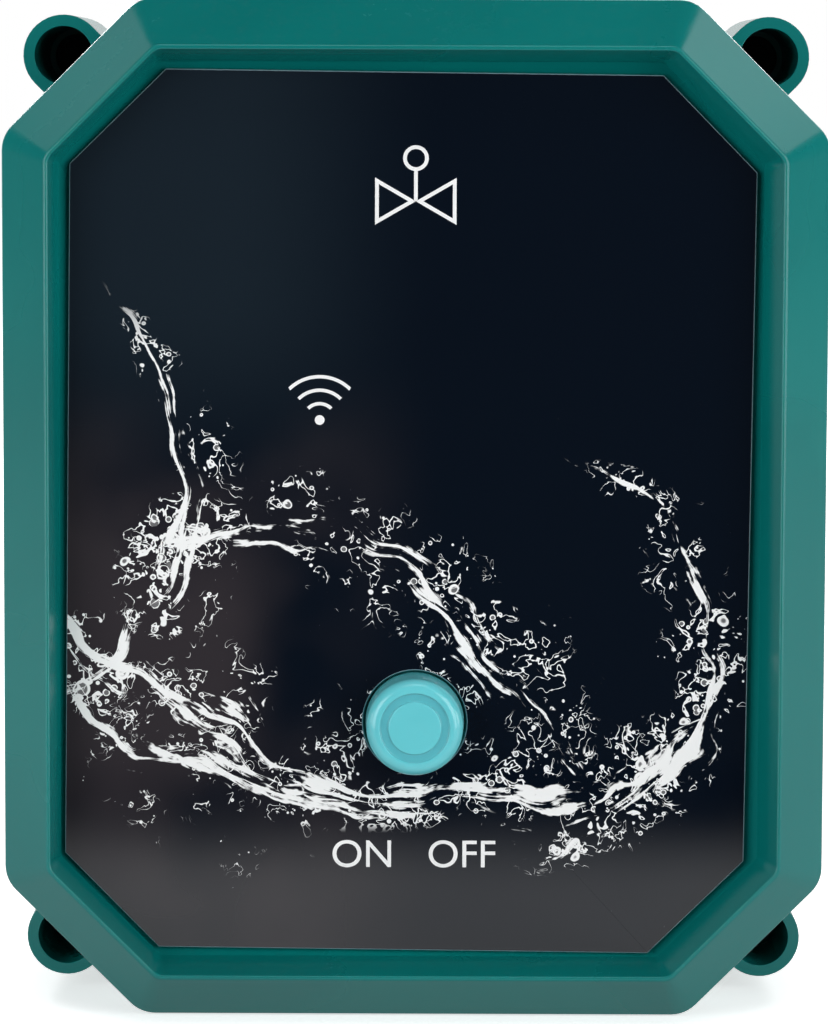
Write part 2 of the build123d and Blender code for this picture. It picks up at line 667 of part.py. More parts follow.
def fascia_sheet(start, thickness, margin, hole_radius):
    """A sheet with the fascia's outline, drawn a margin inside it and set a little askew."""
    with BuildSketch(Plane.XZ.offset(start)) as sheet:
        with Locations(Location((FASCIA_X, FASCIA_Z, 0), (0, 0, FASCIA_SKEW_ANGLE))):
            Rectangle(FASCIA_WIDTH - 2 * margin, FASCIA_HEIGHT - 2 * margin)
        chamfer(sheet.vertices(), FASCIA_LEG - margin * (2 - sqrt(2)))
        fillet(sheet.vertices(), FASCIA_ROUND)
        with Locations(BUTTON):
            Circle(hole_radius, mode=Mode.SUBTRACT)
    extrude(sheet.sketch, amount=thickness)


# Fascia: a polished dark panel stuck on the floor of the cover
with BuildPart() as fascia:
    fascia_sheet(TAPE_REACH, FASCIA_THICKNESS, 0, BUTTON_RADIUS + FASCIA_BUTTON_GAP)
finish(fascia, "fascia")

# Fascia tape: the adhesive sheet under the panel, open over the light window
with BuildPart() as fascia_tape:
    fascia_sheet(FLOOR_REACH, FASCIA_TAPE, TAPE_MARGIN, BUTTON_RADIUS + TAPE_MARGIN)
    blocks([WINDOW], WINDOW_WIDTH, WINDOW_HEIGHT, FLOOR_REACH, TAPE_REACH, mode=Mode.SUBTRACT)
finish(fascia_tape, "fascia_tape")

# Light window: a milky diffuser that fills the opening behind the icon, flanged behind the floor
with BuildPart() as light_window:
    blocks(
        [WINDOW],
        WINDOW_WIDTH - 2 * SCREW_GAP,
        WINDOW_HEIGHT - 2 * SCREW_GAP,
        FLOOR_BACK,
        FLOOR_REACH,
    )
    blocks(
        [WINDOW],
        WINDOW_WIDTH + 2 * WINDOW_LEDGE,
        WINDOW_HEIGHT + 2 * WINDOW_LEDGE,
        FLOOR_BACK - WINDOW_LEDGE,
        FLOOR_BACK,
    )
finish(light_window, "light_window")

# Push button: a hollow cap with a ring groove in its face, a post for the switch and a stop flange
with BuildPart() as button:
    x, z = BUTTON
    cavity_front = CREST_REACH - BUTTON_WALL
    with BuildSketch(Plane(origin=(x, 0, z), x_dir=(1, 0, 0), z_dir=(0, 0, -1))) as cap_profile:
        with BuildLine():
            Polyline(
                (0, FLANGE_BACK),
                (BUTTON_POST_RADIUS, FLANGE_BACK),
                (BUTTON_POST_RADIUS, cavity_front),
                (BUTTON_RADIUS - BUTTON_WALL, cavity_front),
                (BUTTON_RADIUS - BUTTON_WALL, FLANGE_BACK),
                (BUTTON_FLANGE_RADIUS, FLANGE_BACK),
                (BUTTON_FLANGE_RADIUS, FLANGE_FRONT),
                (BUTTON_RADIUS, FLANGE_FRONT),
                (BUTTON_RADIUS, FASCIA_REACH),
                (BUTTON_RADIUS - BUTTON_TAPER, CREST_REACH),
                (0, CREST_REACH),
                close=True,
            )
        make_face()
        fillet(cap_profile.vertices().group_by(Axis.Y)[-1].sort_by(Axis.X)[-1], BUTTON_SHOULDER)
    revolve(axis=Axis((x, 0, z), (0, 1, 0)))
    ring_outer = BUTTON_RADIUS - BUTTON_RING_INSET
    ring_inner = ring_outer - BUTTON_RING_WIDTH
    ring_floor = CREST_REACH - BUTTON_RING_DEPTH
    turned(
        BUTTON,
        [
            (ring_inner, ring_floor),
            (ring_outer, ring_floor),
            (ring_outer, CREST_REACH),
            (ring_inner, CREST_REACH),
        ],
        Mode.SUBTRACT,
    )
finish(button, "button")

# Button seal: a rubber washer behind the floor, round the button's barrel
with BuildPart() as button_seal:
    rounds([BUTTON], BUTTON_FLANGE_RADIUS, SEAL_BACK, FLOOR_BACK)
    rounds([BUTTON], BUTTON_RADIUS + SLIP_GAP, SEAL_BACK, FLOOR_BACK, Mode.SUBTRACT)
finish(button_seal, "button_seal")

# Button spring: an open coil between the circuit board and the button's flange
with BuildPart() as button_spring:
    coil_height = FLANGE_BACK - BOARD_FRONT - SPRING_WIRE - 2 * SEAL_GAP
    coil_start = BOARD_FRONT + SPRING_WIRE / 2 + SEAL_GAP
    with BuildLine():
        coil = Helix(
            coil_height / SPRING_TURNS,
            coil_height,
            BUTTON_FLANGE_RADIUS - SPRING_INSET,
            center=(BUTTON[0], -coil_start, BUTTON[1]),
            direction=(0, -1, 0),
        )
    with BuildSketch(Plane(origin=coil @ 0, z_dir=coil % 0)):
        Circle(SPRING_WIRE / 2)
    sweep(path=coil, is_frenet=True)
finish(button_spring, "button_spring")

# Push switch: a square housing on the board with a well for its plunger
with BuildPart() as push_switch:
    blocks([BUTTON], SWITCH_SIDE, SWITCH_SIDE, BOARD_FRONT, BOARD_FRONT + SWITCH_HEIGHT)
    rounds(
        [BUTTON],
        PLUNGER_RADIUS + SLIP_GAP,
        BOARD_FRONT + SWITCH_BASE,
        BOARD_FRONT + SWITCH_HEIGHT,
        Mode.SUBTRACT,
    )
finish(push_switch, "push_switch")

# Switch plunger: the pin that the button's post pushes
with BuildPart() as switch_plunger:
    plunger_back = BOARD_FRONT + SWITCH_BASE + BUTTON_TRAVEL + PLUNGER_REST_GAP
    rounds([BUTTON], PLUNGER_RADIUS, plunger_back, FLANGE_BACK - PLUNGER_REST_GAP)
finish(switch_plunger, "switch_plunger")

# Circuit board: carries the switch and lights in front, the power parts behind
with BuildPart() as circuit_board:
    board_height = BOARD_TOP - BOARD_BOTTOM
    blocks([(0, BOARD_Z)], BOARD_WIDTH, board_height, BOARD_BACK, BOARD_FRONT, BOARD_ROUND)
    rounds(BOARD_SCREWS, BOARD_SCREW_RADIUS + SLIP_GAP, BOARD_BACK, BOARD_FRONT, Mode.SUBTRACT)
finish(circuit_board, "circuit_board")

# Board screws: hold the board to the cover's bosses from behind
with BuildPart() as board_screws:
    screws(
        BOARD_SCREWS,
        BOARD_BACK,
        BOARD_SCREW_RADIUS,
        BOARD_THICKNESS + BOARD_SCREW_BITE,
        BOARD_HEAD_RADIUS,
        BOARD_HEAD_HEIGHT,
        1,
    )
finish(board_screws, "board_screws")

# Status lights: three small lamps in a row behind the light window
with BuildPart() as status_lights:
    lamp_places = [(WINDOW[0] + step * LED_PITCH, WINDOW[1]) for step in (-1, 0, 1)]
    blocks(lamp_places, LED_WIDTH, LED_WIDTH, BOARD_FRONT, BOARD_FRONT + LED_HEIGHT)
finish(status_lights, "status_lights")

# Wireless module: a small board on the main board, bare over its aerial
with BuildPart() as wireless_module:
    blocks(
        [MODULE],
        MODULE_WIDTH,
        MODULE_LENGTH,
        BOARD_FRONT,
        BOARD_FRONT + MODULE_THICKNESS,
    )
finish(wireless_module, "wireless_module")

# Module shield: a pressed metal can over the radio
with BuildPart() as module_shield:
    shield_back = BOARD_FRONT + MODULE_THICKNESS
    shield_place = [(MODULE[0], MODULE[1] + SHIELD_SHIFT)]
    blocks(shield_place, SHIELD_WIDTH, SHIELD_LENGTH, shield_back, shield_back + SHIELD_HEIGHT)
    blocks(
        shield_place,
        SHIELD_WIDTH - 2 * SHIELD_WALL,
        SHIELD_LENGTH - 2 * SHIELD_WALL,
        shield_back,
        shield_back + SHIELD_HEIGHT - SHIELD_WALL,
        mode=Mode.SUBTRACT,
    )
finish(module_shield, "module_shield")

# Supply terminal: a three-way screw block for the cable, with its mouths below
with BuildPart() as supply_terminal:
    blocks(
        [TERMINAL],
        TERMINAL_WIDTH,
        TERMINAL_DEPTH,
        BOARD_BACK - TERMINAL_HEIGHT,
        BOARD_BACK,
    )
    mouth_reach = BOARD_BACK - TERMINAL_HEIGHT / 2
    with BuildSketch(Plane.XY.offset(TERMINAL[1] - TERMINAL_DEPTH / 2)):
        with Locations(*[(TERMINAL[0] + step * TERMINAL_PITCH, -mouth_reach) for step in (-1, 0, 1)]):
            Rectangle(TERMINAL_MOUTH, TERMINAL_MOUTH)
    extrude(amount=TERMINAL_MOUTH_DEPTH, mode=Mode.SUBTRACT)
finish(supply_terminal, "supply_terminal")

# Smoothing capacitor: a round can standing on the back of the board
with BuildPart() as capacitor:
    rounds([CAPACITOR], CAPACITOR_RADIUS, BOARD_BACK - CAPACITOR_HEIGHT, BOARD_BACK)
    fillet(capacitor.edges().sort_by(Axis.Y)[-1], CAPACITOR_ROUND)
finish(capacitor, "capacitor")

# Motor driver chip
with BuildPart() as driver_chip:
    driver_place = [(0, BOARD_BOTTOM + DRIVER_RISE)]
    blocks(driver_place, DRIVER_WIDTH, DRIVER_LENGTH, BOARD_BACK - DRIVER_HEIGHT, BOARD_BACK)
finish(driver_chip, "driver_chip")

# Relay: a plain sealed block
with BuildPart() as relay:
    blocks(
        [RELAY],
        RELAY_WIDTH,
        RELAY_LENGTH,
        BOARD_BACK - RELAY_HEIGHT,
        BOARD_BACK,
        RELAY_ROUND,
    )
finish(relay, "relay")

# Motor plug: a two-way header, open towards the motor
with BuildPart() as motor_plug:
    plug_back = BOARD_BACK - PLUG_HEIGHT
    blocks([PLUG], PLUG_WIDTH, PLUG_DEPTH, plug_back, BOARD_BACK)
    blocks(
        [PLUG],
        PLUG_WIDTH - 2 * PLUG_WALL,
        PLUG_DEPTH - 2 * PLUG_WALL,
        plug_back,
        BOARD_BACK - PLUG_WALL,
        mode=Mode.SUBTRACT,
    )
finish(motor_plug, "motor_plug")

# Gear plate: a steel sheet on four pillars, carrying the bush, the idler's pin and the motor
with BuildPart() as gear_plate:
    plate_middle = (PLATE_TOP + PLATE_BOTTOM) / 2
    blocks(
        [(0, plate_middle)],
        PLATE_WIDTH,
        PLATE_TOP - PLATE_BOTTOM,
        PLATE_BACK,
        PLATE_FRONT,
        PLATE_ROUND,
    )
    rounds(PILLARS, PLATE_SCREW_RADIUS + SLIP_GAP, PLATE_BACK, PLATE_FRONT, Mode.SUBTRACT)
    rounds([(0, 0)], BUSH_RADIUS, PLATE_BACK, PLATE_FRONT, Mode.SUBTRACT)
    rounds([IDLER], IDLER_PIN_RADIUS, PLATE_BACK, PLATE_FRONT, Mode.SUBTRACT)
    rounds([MOTOR], MOTOR_BOSS_RADIUS + SLIP_GAP, PLATE_BACK, PLATE_FRONT, Mode.SUBTRACT)
    rounds(MOTOR_SCREWS, MOTOR_SCREW_RADIUS + SLIP_GAP, PLATE_BACK, PLATE_FRONT, Mode.SUBTRACT)
finish(gear_plate, "gear_plate")

# Plate screws
with BuildPart() as plate_screws:
    screws(
        PILLARS,
        PLATE_FRONT,
        PLATE_SCREW_RADIUS,
        PLATE_SCREW_BITE,
        PLATE_HEAD_RADIUS,
        PLATE_HEAD_HEIGHT,
        -1,
    )
finish(plate_screws, "plate_screws")

# Shaft bush: a flanged bearing in the plate, round the output gear's journal
with BuildPart() as shaft_bush:
    rounds([(0, 0)], BUSH_RADIUS, PLATE_BACK, PLATE_FRONT)
    rounds([(0, 0)], BUSH_RADIUS + BUSH_FLANGE_LEDGE, PLATE_BACK - BUSH_FLANGE, PLATE_BACK)
    rounds(
        [(0, 0)],
        OUTPUT_JOURNAL_RADIUS + TURN_GAP,
        PLATE_BACK - BUSH_FLANGE,
        PLATE_FRONT,
        Mode.SUBTRACT,
    )
finish(shaft_bush, "shaft_bush")

# Output gear: drives the valve's stem, which fits its bore with two flats
with BuildPart() as output_gear:
    gear((0, 0), DRIVE_TEETH, DRIVE_MODULE, -TOOTH_SHIFT_SHARE, OUTPUT_BACK, OUTPUT_FRONT, 90)
    web_radius = DRIVE_RADIUS - OUTPUT_WEB_RIM
    web_front = OUTPUT_BACK + OUTPUT_WEB
    turned(
        (0, 0),
        [
            (OUTPUT_HUB_RADIUS, web_front),
            (web_radius, web_front),
            (web_radius, OUTPUT_FRONT),
            (OUTPUT_HUB_RADIUS, OUTPUT_FRONT),
        ],
        Mode.SUBTRACT,
    )
    rounds([SENSORS[0]], MAGNET_RADIUS + OUTPUT_WEB_RIM / 2, web_front, OUTPUT_FRONT)
    rounds([SENSORS[0]], MAGNET_RADIUS, OUTPUT_FRONT - MAGNET_DEPTH, OUTPUT_FRONT, Mode.SUBTRACT)
    hub_back = INSIDE_REACH + AXIAL_GAP
    journal_back = PLATE_BACK - BUSH_FLANGE - AXIAL_GAP
    rounds([(0, 0)], OUTPUT_HUB_RADIUS, hub_back, journal_back)
    rounds([(0, 0)], OUTPUT_JOURNAL_RADIUS, journal_back, HUB_FRONT)
    with BuildSketch(Plane.XZ.offset(hub_back)):
        Circle(STEM_RADIUS + SCREW_GAP)
        Rectangle(2 * (STEM_FLAT_HALF + SCREW_GAP), 2 * BUSH_RADIUS, mode=Mode.INTERSECT)
    extrude(amount=HUB_FRONT - hub_back, mode=Mode.SUBTRACT)
finish(output_gear, "output_gear")

# Position magnet: pressed into the output gear
with BuildPart() as position_magnet:
    rounds([SENSORS[0]], MAGNET_RADIUS, OUTPUT_FRONT - MAGNET_DEPTH, OUTPUT_FRONT)
finish(position_magnet, "position_magnet")

# Position sensors: one for open and one for closed, on the back of the plate
with BuildPart() as position_sensors:
    blocks(SENSORS, SENSOR_WIDTH, SENSOR_LENGTH, PLATE_BACK - SENSOR_HEIGHT, PLATE_BACK)
finish(position_sensors, "position_sensors")

# Hub screw: keeps the output gear on the stem
with BuildPart() as hub_screw:
    screws([(0, 0)], HUB_FRONT, HUB_SCREW_RADIUS, HUB_SCREW_LENGTH, HUB_HEAD_RADIUS, HUB_HEAD_HEIGHT, -1)
finish(hub_screw, "hub_screw")

# Idler gear: a large wheel and a small one in one piece
with BuildPart() as idler_gear:
    idler_back = INSIDE_REACH + IDLER_BOSS_HEIGHT + AXIAL_GAP
    small_turn = -90 + 180 / IDLER_SMALL_TEETH
    gear(
        IDLER,
        IDLER_SMALL_TEETH,
        DRIVE_MODULE,
        TOOTH_SHIFT_SHARE,
        idler_back,
        OUTPUT_FRONT + IDLER_GAP,
        small_turn,
    )
    gear(
        IDLER,
        IDLER_LARGE_TEETH,
        MOTOR_MODULE,
        -TOOTH_SHIFT_SHARE,
        LARGE_BACK,
        LARGE_FRONT,
        0,
    )
    rounds([IDLER], IDLER_HUB_RADIUS, OUTPUT_FRONT, PLATE_BACK - AXIAL_GAP)
    rounds([IDLER], IDLER_PIN_RADIUS + TURN_GAP, idler_back, PLATE_BACK, Mode.SUBTRACT)
finish(idler_gear, "idler_gear")

# Idler pin: held in the case's boss and the plate
with BuildPart() as idler_pin:
    rounds([IDLER], IDLER_PIN_RADIUS, INSIDE_REACH, PLATE_FRONT)
finish(idler_pin, "idler_pin")

# Motor pinion: pressed on the gearbox shaft
with BuildPart() as motor_pinion:
    gear(
        MOTOR,
        PINION_TEETH,
        MOTOR_MODULE,
        TOOTH_SHIFT_SHARE,
        LARGE_BACK,
        LARGE_FRONT,
        180 + 180 / PINION_TEETH,
    )
    rounds([MOTOR], MOTOR_SHAFT_RADIUS, LARGE_BACK, LARGE_FRONT, Mode.SUBTRACT)
finish(motor_pinion, "motor_pinion")

# Motor shaft: turns with the pinion, its inner end in the gearbox's boss
with BuildPart() as motor_shaft:
    rounds([MOTOR], MOTOR_SHAFT_RADIUS, LARGE_BACK, PLATE_FRONT)
finish(motor_shaft, "motor_shaft")

# Gearbox: a square reduction box whose round boss sits in the plate
with BuildPart() as gearbox:
    blocks(
        [MOTOR],
        MOTOR_WIDTH,
        MOTOR_THICKNESS,
        PLATE_FRONT,
        PLATE_FRONT + GEARBOX_LENGTH,
    )
    rounds([MOTOR], MOTOR_BOSS_RADIUS, PLATE_BACK, PLATE_FRONT)
    rounds([MOTOR], MOTOR_SHAFT_RADIUS + TURN_GAP, PLATE_BACK, PLATE_FRONT, Mode.SUBTRACT)
    rounds(
        MOTOR_SCREWS,
        MOTOR_SCREW_RADIUS + SCREW_GAP,
        PLATE_FRONT,
        PLATE_BACK + MOTOR_SCREW_LENGTH + SCREW_GAP,
        Mode.SUBTRACT,
    )
finish(gearbox, "gearbox")

# Motor: a can with two flat sides behind the gearbox
with BuildPart() as motor:
    with BuildSketch(Plane.XZ.offset(PLATE_FRONT + GEARBOX_LENGTH)):
        with Locations(MOTOR):
            Circle(MOTOR_WIDTH / 2)
            Rectangle(MOTOR_WIDTH, MOTOR_THICKNESS, mode=Mode.INTERSECT)
    extrude(amount=FLOOR_BACK - MOTOR_END_GAP - PLATE_FRONT - GEARBOX_LENGTH)
finish(motor, "motor")

# Motor screws: through the plate into the gearbox
with BuildPart() as motor_screws:
    screws(
        MOTOR_SCREWS,
        PLATE_BACK,
        MOTOR_SCREW_RADIUS,
        MOTOR_SCREW_LENGTH,
        MOTOR_HEAD_RADIUS,
        MOTOR_HEAD_HEIGHT,
        1,
    )
finish(motor_screws, "motor_screws")


def hexagon(start, end, mode=Mode.ADD):
    """A spanner hexagon round the waterway."""
    with BuildSketch(Plane.YZ.offset(start)) as section:
        RegularPolygon(HEX_ACROSS / 2, 6, major_radius=False)
    extrude(section.sketch, amount=end - start, mode=mode)


# Valve body: brass, with the inlet thread, the ball's cavity, the stem's bore and the box's pad
with BuildPart() as valve_body:
    turned_along(pipe_thread(-1))
    hexagon(-HEX_END, BARREL_BACK)
    turned_along(
        [
            (BARREL_BACK, 0),
            (BARREL_BACK, BARREL_RADIUS - BARREL_CHAMFER),
            (BARREL_BACK + BARREL_CHAMFER, BARREL_RADIUS),
            (BARREL_FRONT - BARREL_CHAMFER, BARREL_RADIUS),
            (BARREL_FRONT, BARREL_RADIUS - BARREL_CHAMFER),
            (BARREL_FRONT, 0),
        ]
    )
    rounds([(0, 0)], NECK_RADIUS, 0, PAD_FRONT)
    blocks([(0, 0)], PAD_SIDE, PAD_SIDE, PAD_FRONT - PAD_THICKNESS, PAD_FRONT, PAD_ROUND)
    rounds([(0, 0)], SPIGOT_RADIUS, PAD_FRONT, INSIDE_REACH)
    rounds(PAD_SCREWS, PAD_SCREW_RADIUS + SCREW_GAP, PAD_FRONT - PAD_THICKNESS, PAD_FRONT, Mode.SUBTRACT)
    turned_along(
        [
            (-VALVE_HALF_LENGTH, 0),
            (-VALVE_HALF_LENGTH, WATERWAY_RADIUS),
            (-SEAT_OUTER, WATERWAY_RADIUS),
            (-SEAT_OUTER, SEAT_POCKET_RADIUS),
            (-CAVITY_HALF, SEAT_POCKET_RADIUS),
            (-CAVITY_HALF, CAVITY_RADIUS),
            (CAVITY_HALF, CAVITY_RADIUS),
            (CAVITY_HALF, ADAPTER_BORE_RADIUS),
            (BARREL_FRONT, ADAPTER_BORE_RADIUS),
            (BARREL_FRONT, 0),
        ],
        Mode.SUBTRACT,
    )
    rounds(
        [(0, 0)],
        STEM_COLLAR_RADIUS + SLIP_GAP,
        0,
        COLLAR_FRONT + THRUST_WASHER,
        Mode.SUBTRACT,
    )
    rounds([(0, 0)], STEM_RADIUS + TURN_GAP, 0, INSIDE_REACH, Mode.SUBTRACT)
finish(valve_body, "valve_body")

# End adapter: brass, screwed into the body, with the outlet thread and the second seat's pocket
with BuildPart() as end_adapter:
    turned_along(pipe_thread(1))
    adapter_face = BARREL_FRONT + ADAPTER_GASKET
    hexagon(adapter_face, HEX_END)
    turned_along(
        [
            (CAVITY_HALF, 0),
            (CAVITY_HALF, ADAPTER_NOSE_RADIUS),
            (adapter_face, ADAPTER_NOSE_RADIUS),
            (adapter_face, 0),
        ]
    )
    turned_along(
        [
            (CAVITY_HALF, 0),
            (CAVITY_HALF, SEAT_POCKET_RADIUS),
            (SEAT_OUTER, SEAT_POCKET_RADIUS),
            (SEAT_OUTER, WATERWAY_RADIUS),
            (VALVE_HALF_LENGTH, WATERWAY_RADIUS),
            (VALVE_HALF_LENGTH, 0),
        ],
        Mode.SUBTRACT,
    )
finish(end_adapter, "end_adapter")

# Adapter gasket: a ring between the body's end and the adapter's hexagon
with BuildPart() as adapter_gasket:
    turned_along(
        [
            (BARREL_FRONT, ADAPTER_NOSE_RADIUS),
            (BARREL_FRONT, BARREL_RADIUS - BARREL_CHAMFER),
            (adapter_face, BARREL_RADIUS - BARREL_CHAMFER),
            (adapter_face, ADAPTER_NOSE_RADIUS),
        ]
    )
finish(adapter_gasket, "adapter_gasket")


def seat_ring(side):
    """A seat ring on one side of the ball, hollowed to the ball's curve."""
    with BuildSketch(Plane.XY) as section:
        with Locations((side * (SEAT_INNER + SEAT_OUTER) / 2, (WATERWAY_RADIUS + SEAT_RADIUS) / 2)):
            Rectangle(SEAT_OUTER - SEAT_INNER, SEAT_RADIUS - WATERWAY_RADIUS)
        Circle(BALL_RADIUS + SEAT_GAP, mode=Mode.SUBTRACT)
    revolve(section.sketch, axis=Axis.X)


# Ball seats: one in the body and one in the adapter
with BuildPart() as inlet_seat:
    seat_ring(-1)
finish(inlet_seat, "inlet_seat")

with BuildPart() as outlet_seat:
    seat_ring(1)
finish(outlet_seat, "outlet_seat")

# Ball: bored through along the waterway, with a slot across its top for the stem's tang
with BuildPart() as ball:
    Sphere(BALL_RADIUS)
    with BuildSketch(Plane.YZ.offset(-BALL_RADIUS)):
        Circle(WATERWAY_RADIUS)
    extrude(amount=2 * BALL_RADIUS, mode=Mode.SUBTRACT)
    blocks([(0, 0)], SLOT_WIDTH, 2 * BALL_RADIUS, SLOT_FLOOR, BALL_RADIUS, mode=Mode.SUBTRACT)
finish(ball, "ball")

# Valve stem: tang, collar, two ring grooves and an end with two flats
with BuildPart() as valve_stem:
    stem_front = HUB_FRONT - OVERRUN
    rounds([(0, 0)], STEM_COLLAR_RADIUS, STEM_COLLAR_BACK, COLLAR_FRONT)
    rounds([(0, 0)], STEM_RADIUS, COLLAR_FRONT, hub_back)
    with BuildSketch(Plane.XZ.offset(hub_back)):
        Circle(STEM_RADIUS)
        Rectangle(2 * STEM_FLAT_HALF, 2 * STEM_COLLAR_RADIUS, mode=Mode.INTERSECT)
    extrude(amount=stem_front - hub_back)
    tang_width = SLOT_WIDTH - STEM_TANG_GAP
    blocks([(0, 0)], tang_width, STEM_TANG_LENGTH, SLOT_FLOOR + STEM_TANG_GAP, STEM_COLLAR_BACK)
    for ring_reach in (RING_FIRST, RING_SECOND):
        turned(
            (0, 0),
            [
                (RING_GROOVE_RADIUS, ring_reach - RING_GROOVE_WIDTH / 2),
                (STEM_COLLAR_RADIUS, ring_reach - RING_GROOVE_WIDTH / 2),
                (STEM_COLLAR_RADIUS, ring_reach + RING_GROOVE_WIDTH / 2),
                (RING_GROOVE_RADIUS, ring_reach + RING_GROOVE_WIDTH / 2),
            ],
            Mode.SUBTRACT,
        )
    rounds(
        [(0, 0)],
        HUB_SCREW_RADIUS + SCREW_GAP,
        HUB_FRONT - HUB_SCREW_LENGTH - SCREW_GAP,
        stem_front,
        Mode.SUBTRACT,
    )
finish(valve_stem, "valve_stem")

# Stem rings: two rubber rings in the stem's grooves
with BuildPart() as stem_rings:
    ring_middle = (RING_GROOVE_RADIUS + STEM_RADIUS + TURN_GAP) / 2
    with BuildSketch(Plane(origin=(0, 0, 0), x_dir=(1, 0, 0), z_dir=(0, 0, -1))):
        with Locations((ring_middle, RING_FIRST), (ring_middle, RING_SECOND)):
            Circle(RING_WIRE_RADIUS)
    revolve(axis=Axis.Y)
finish(stem_rings, "stem_rings")

# Thrust washer: between the stem's collar and the body
with BuildPart() as thrust_washer:
    rounds([(0, 0)], STEM_COLLAR_RADIUS, COLLAR_FRONT, COLLAR_FRONT + THRUST_WASHER)
    rounds([(0, 0)], STEM_RADIUS + TURN_GAP, COLLAR_FRONT, COLLAR_FRONT + THRUST_WASHER, Mode.SUBTRACT)
finish(thrust_washer, "thrust_washer")

# Pad gasket: between the valve's pad and the back of the box
with BuildPart() as pad_gasket:
    blocks([(0, 0)], PAD_SIDE, PAD_SIDE, PAD_FRONT, PAD_REACH, PAD_ROUND)
    rounds([(0, 0)], SPIGOT_RADIUS + SLIP_GAP, PAD_FRONT, PAD_REACH, Mode.SUBTRACT)
    rounds(PAD_SCREWS, PAD_SCREW_RADIUS + SLIP_GAP, PAD_FRONT, PAD_REACH, Mode.SUBTRACT)
finish(pad_gasket, "pad_gasket")

# Pad screws: from inside the box through its rear wall into the pad
with BuildPart() as pad_screws:
    pad_screw_length = REAR_WALL + PAD_GASKET + PAD_SCREW_BITE
    screws(
        PAD_SCREWS,
        INSIDE_REACH,
        PAD_SCREW_RADIUS,
        pad_screw_length,
        PAD_HEAD_RADIUS,
        PAD_HEAD_HEIGHT,
        -1,
    )
finish(pad_screws, "pad_screws")

# Cable gland body: a threaded sleeve through the rear wall, with a hexagon and a tail for its nut
gland_hex_back = REAR_REACH - GLAND_HEX_LENGTH
gland_tail_back = gland_hex_back - GLAND_SEAL_LENGTH
with BuildPart() as gland_body:
    nuts(GLAND, GLAND_HEX, gland_hex_back, REAR_REACH)
    rounds([GLAND], GLAND_THREAD_RADIUS, REAR_REACH, INSIDE_REACH + GLAND_LOCK_LENGTH + OVERRUN)
    rounds([GLAND], GLAND_TAIL_RADIUS, gland_tail_back, gland_hex_back)
    rounds(
        [GLAND],
        GLAND_BORE_RADIUS,
        gland_hex_back,
        INSIDE_REACH + GLAND_LOCK_LENGTH + OVERRUN,
        Mode.SUBTRACT,
    )
    rounds([GLAND], GLAND_SEAL_RADIUS, gland_tail_back, gland_hex_back, Mode.SUBTRACT)
finish(gland_body, "gland_body")

# Gland seal: a rubber sleeve that grips the cable
with BuildPart() as gland_seal:
    rounds([GLAND], GLAND_SEAL_RADIUS, gland_tail_back, gland_hex_back)
    rounds([GLAND], GLAND_CABLE_RADIUS, gland_tail_back, gland_hex_back, Mode.SUBTRACT)
finish(gland_seal, "gland_seal")

# Gland nut: a domed cap screwed over the sleeve's tail
with BuildPart() as gland_nut:
    nut_back = gland_hex_back - GLAND_NUT_LENGTH
    nuts(GLAND, GLAND_HEX, gland_tail_back, gland_hex_back)
    turned(
        GLAND,
        [
            (0, nut_back),
            (GLAND_HEX / 2 - GLAND_NUT_ROUND, nut_back),
            (GLAND_HEX / 2, nut_back + GLAND_NUT_ROUND),
            (GLAND_HEX / 2, gland_tail_back),
            (0, gland_tail_back),
        ],
    )
    rounds([GLAND], GLAND_TAIL_RADIUS + SCREW_GAP, gland_tail_back, gland_hex_back, Mode.SUBTRACT)
    turned(
        GLAND,
        [
            (0, nut_back),
            (GLAND_MOUTH_RADIUS, nut_back),
            (GLAND_MOUTH_RADIUS, nut_back + GLAND_LIP),
            (GLAND_BORE_RADIUS, gland_tail_back),
            (0, gland_tail_back),
        ],
        Mode.SUBTRACT,
    )
finish(gland_nut, "gland_nut")

# Gland locknut: inside the box
with BuildPart() as gland_locknut:
    nuts(GLAND, GLAND_LOCK_HEX, INSIDE_REACH, INSIDE_REACH + GLAND_LOCK_LENGTH)
    rounds(
        [GLAND],
        GLAND_THREAD_RADIUS + SCREW_GAP,
        INSIDE_REACH,
        INSIDE_REACH + GLAND_LOCK_LENGTH,
        Mode.SUBTRACT,
    )
finish(gland_locknut, "gland_locknut")
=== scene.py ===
from math import cos, pi, radians, sin

import bpy
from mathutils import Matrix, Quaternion, Vector


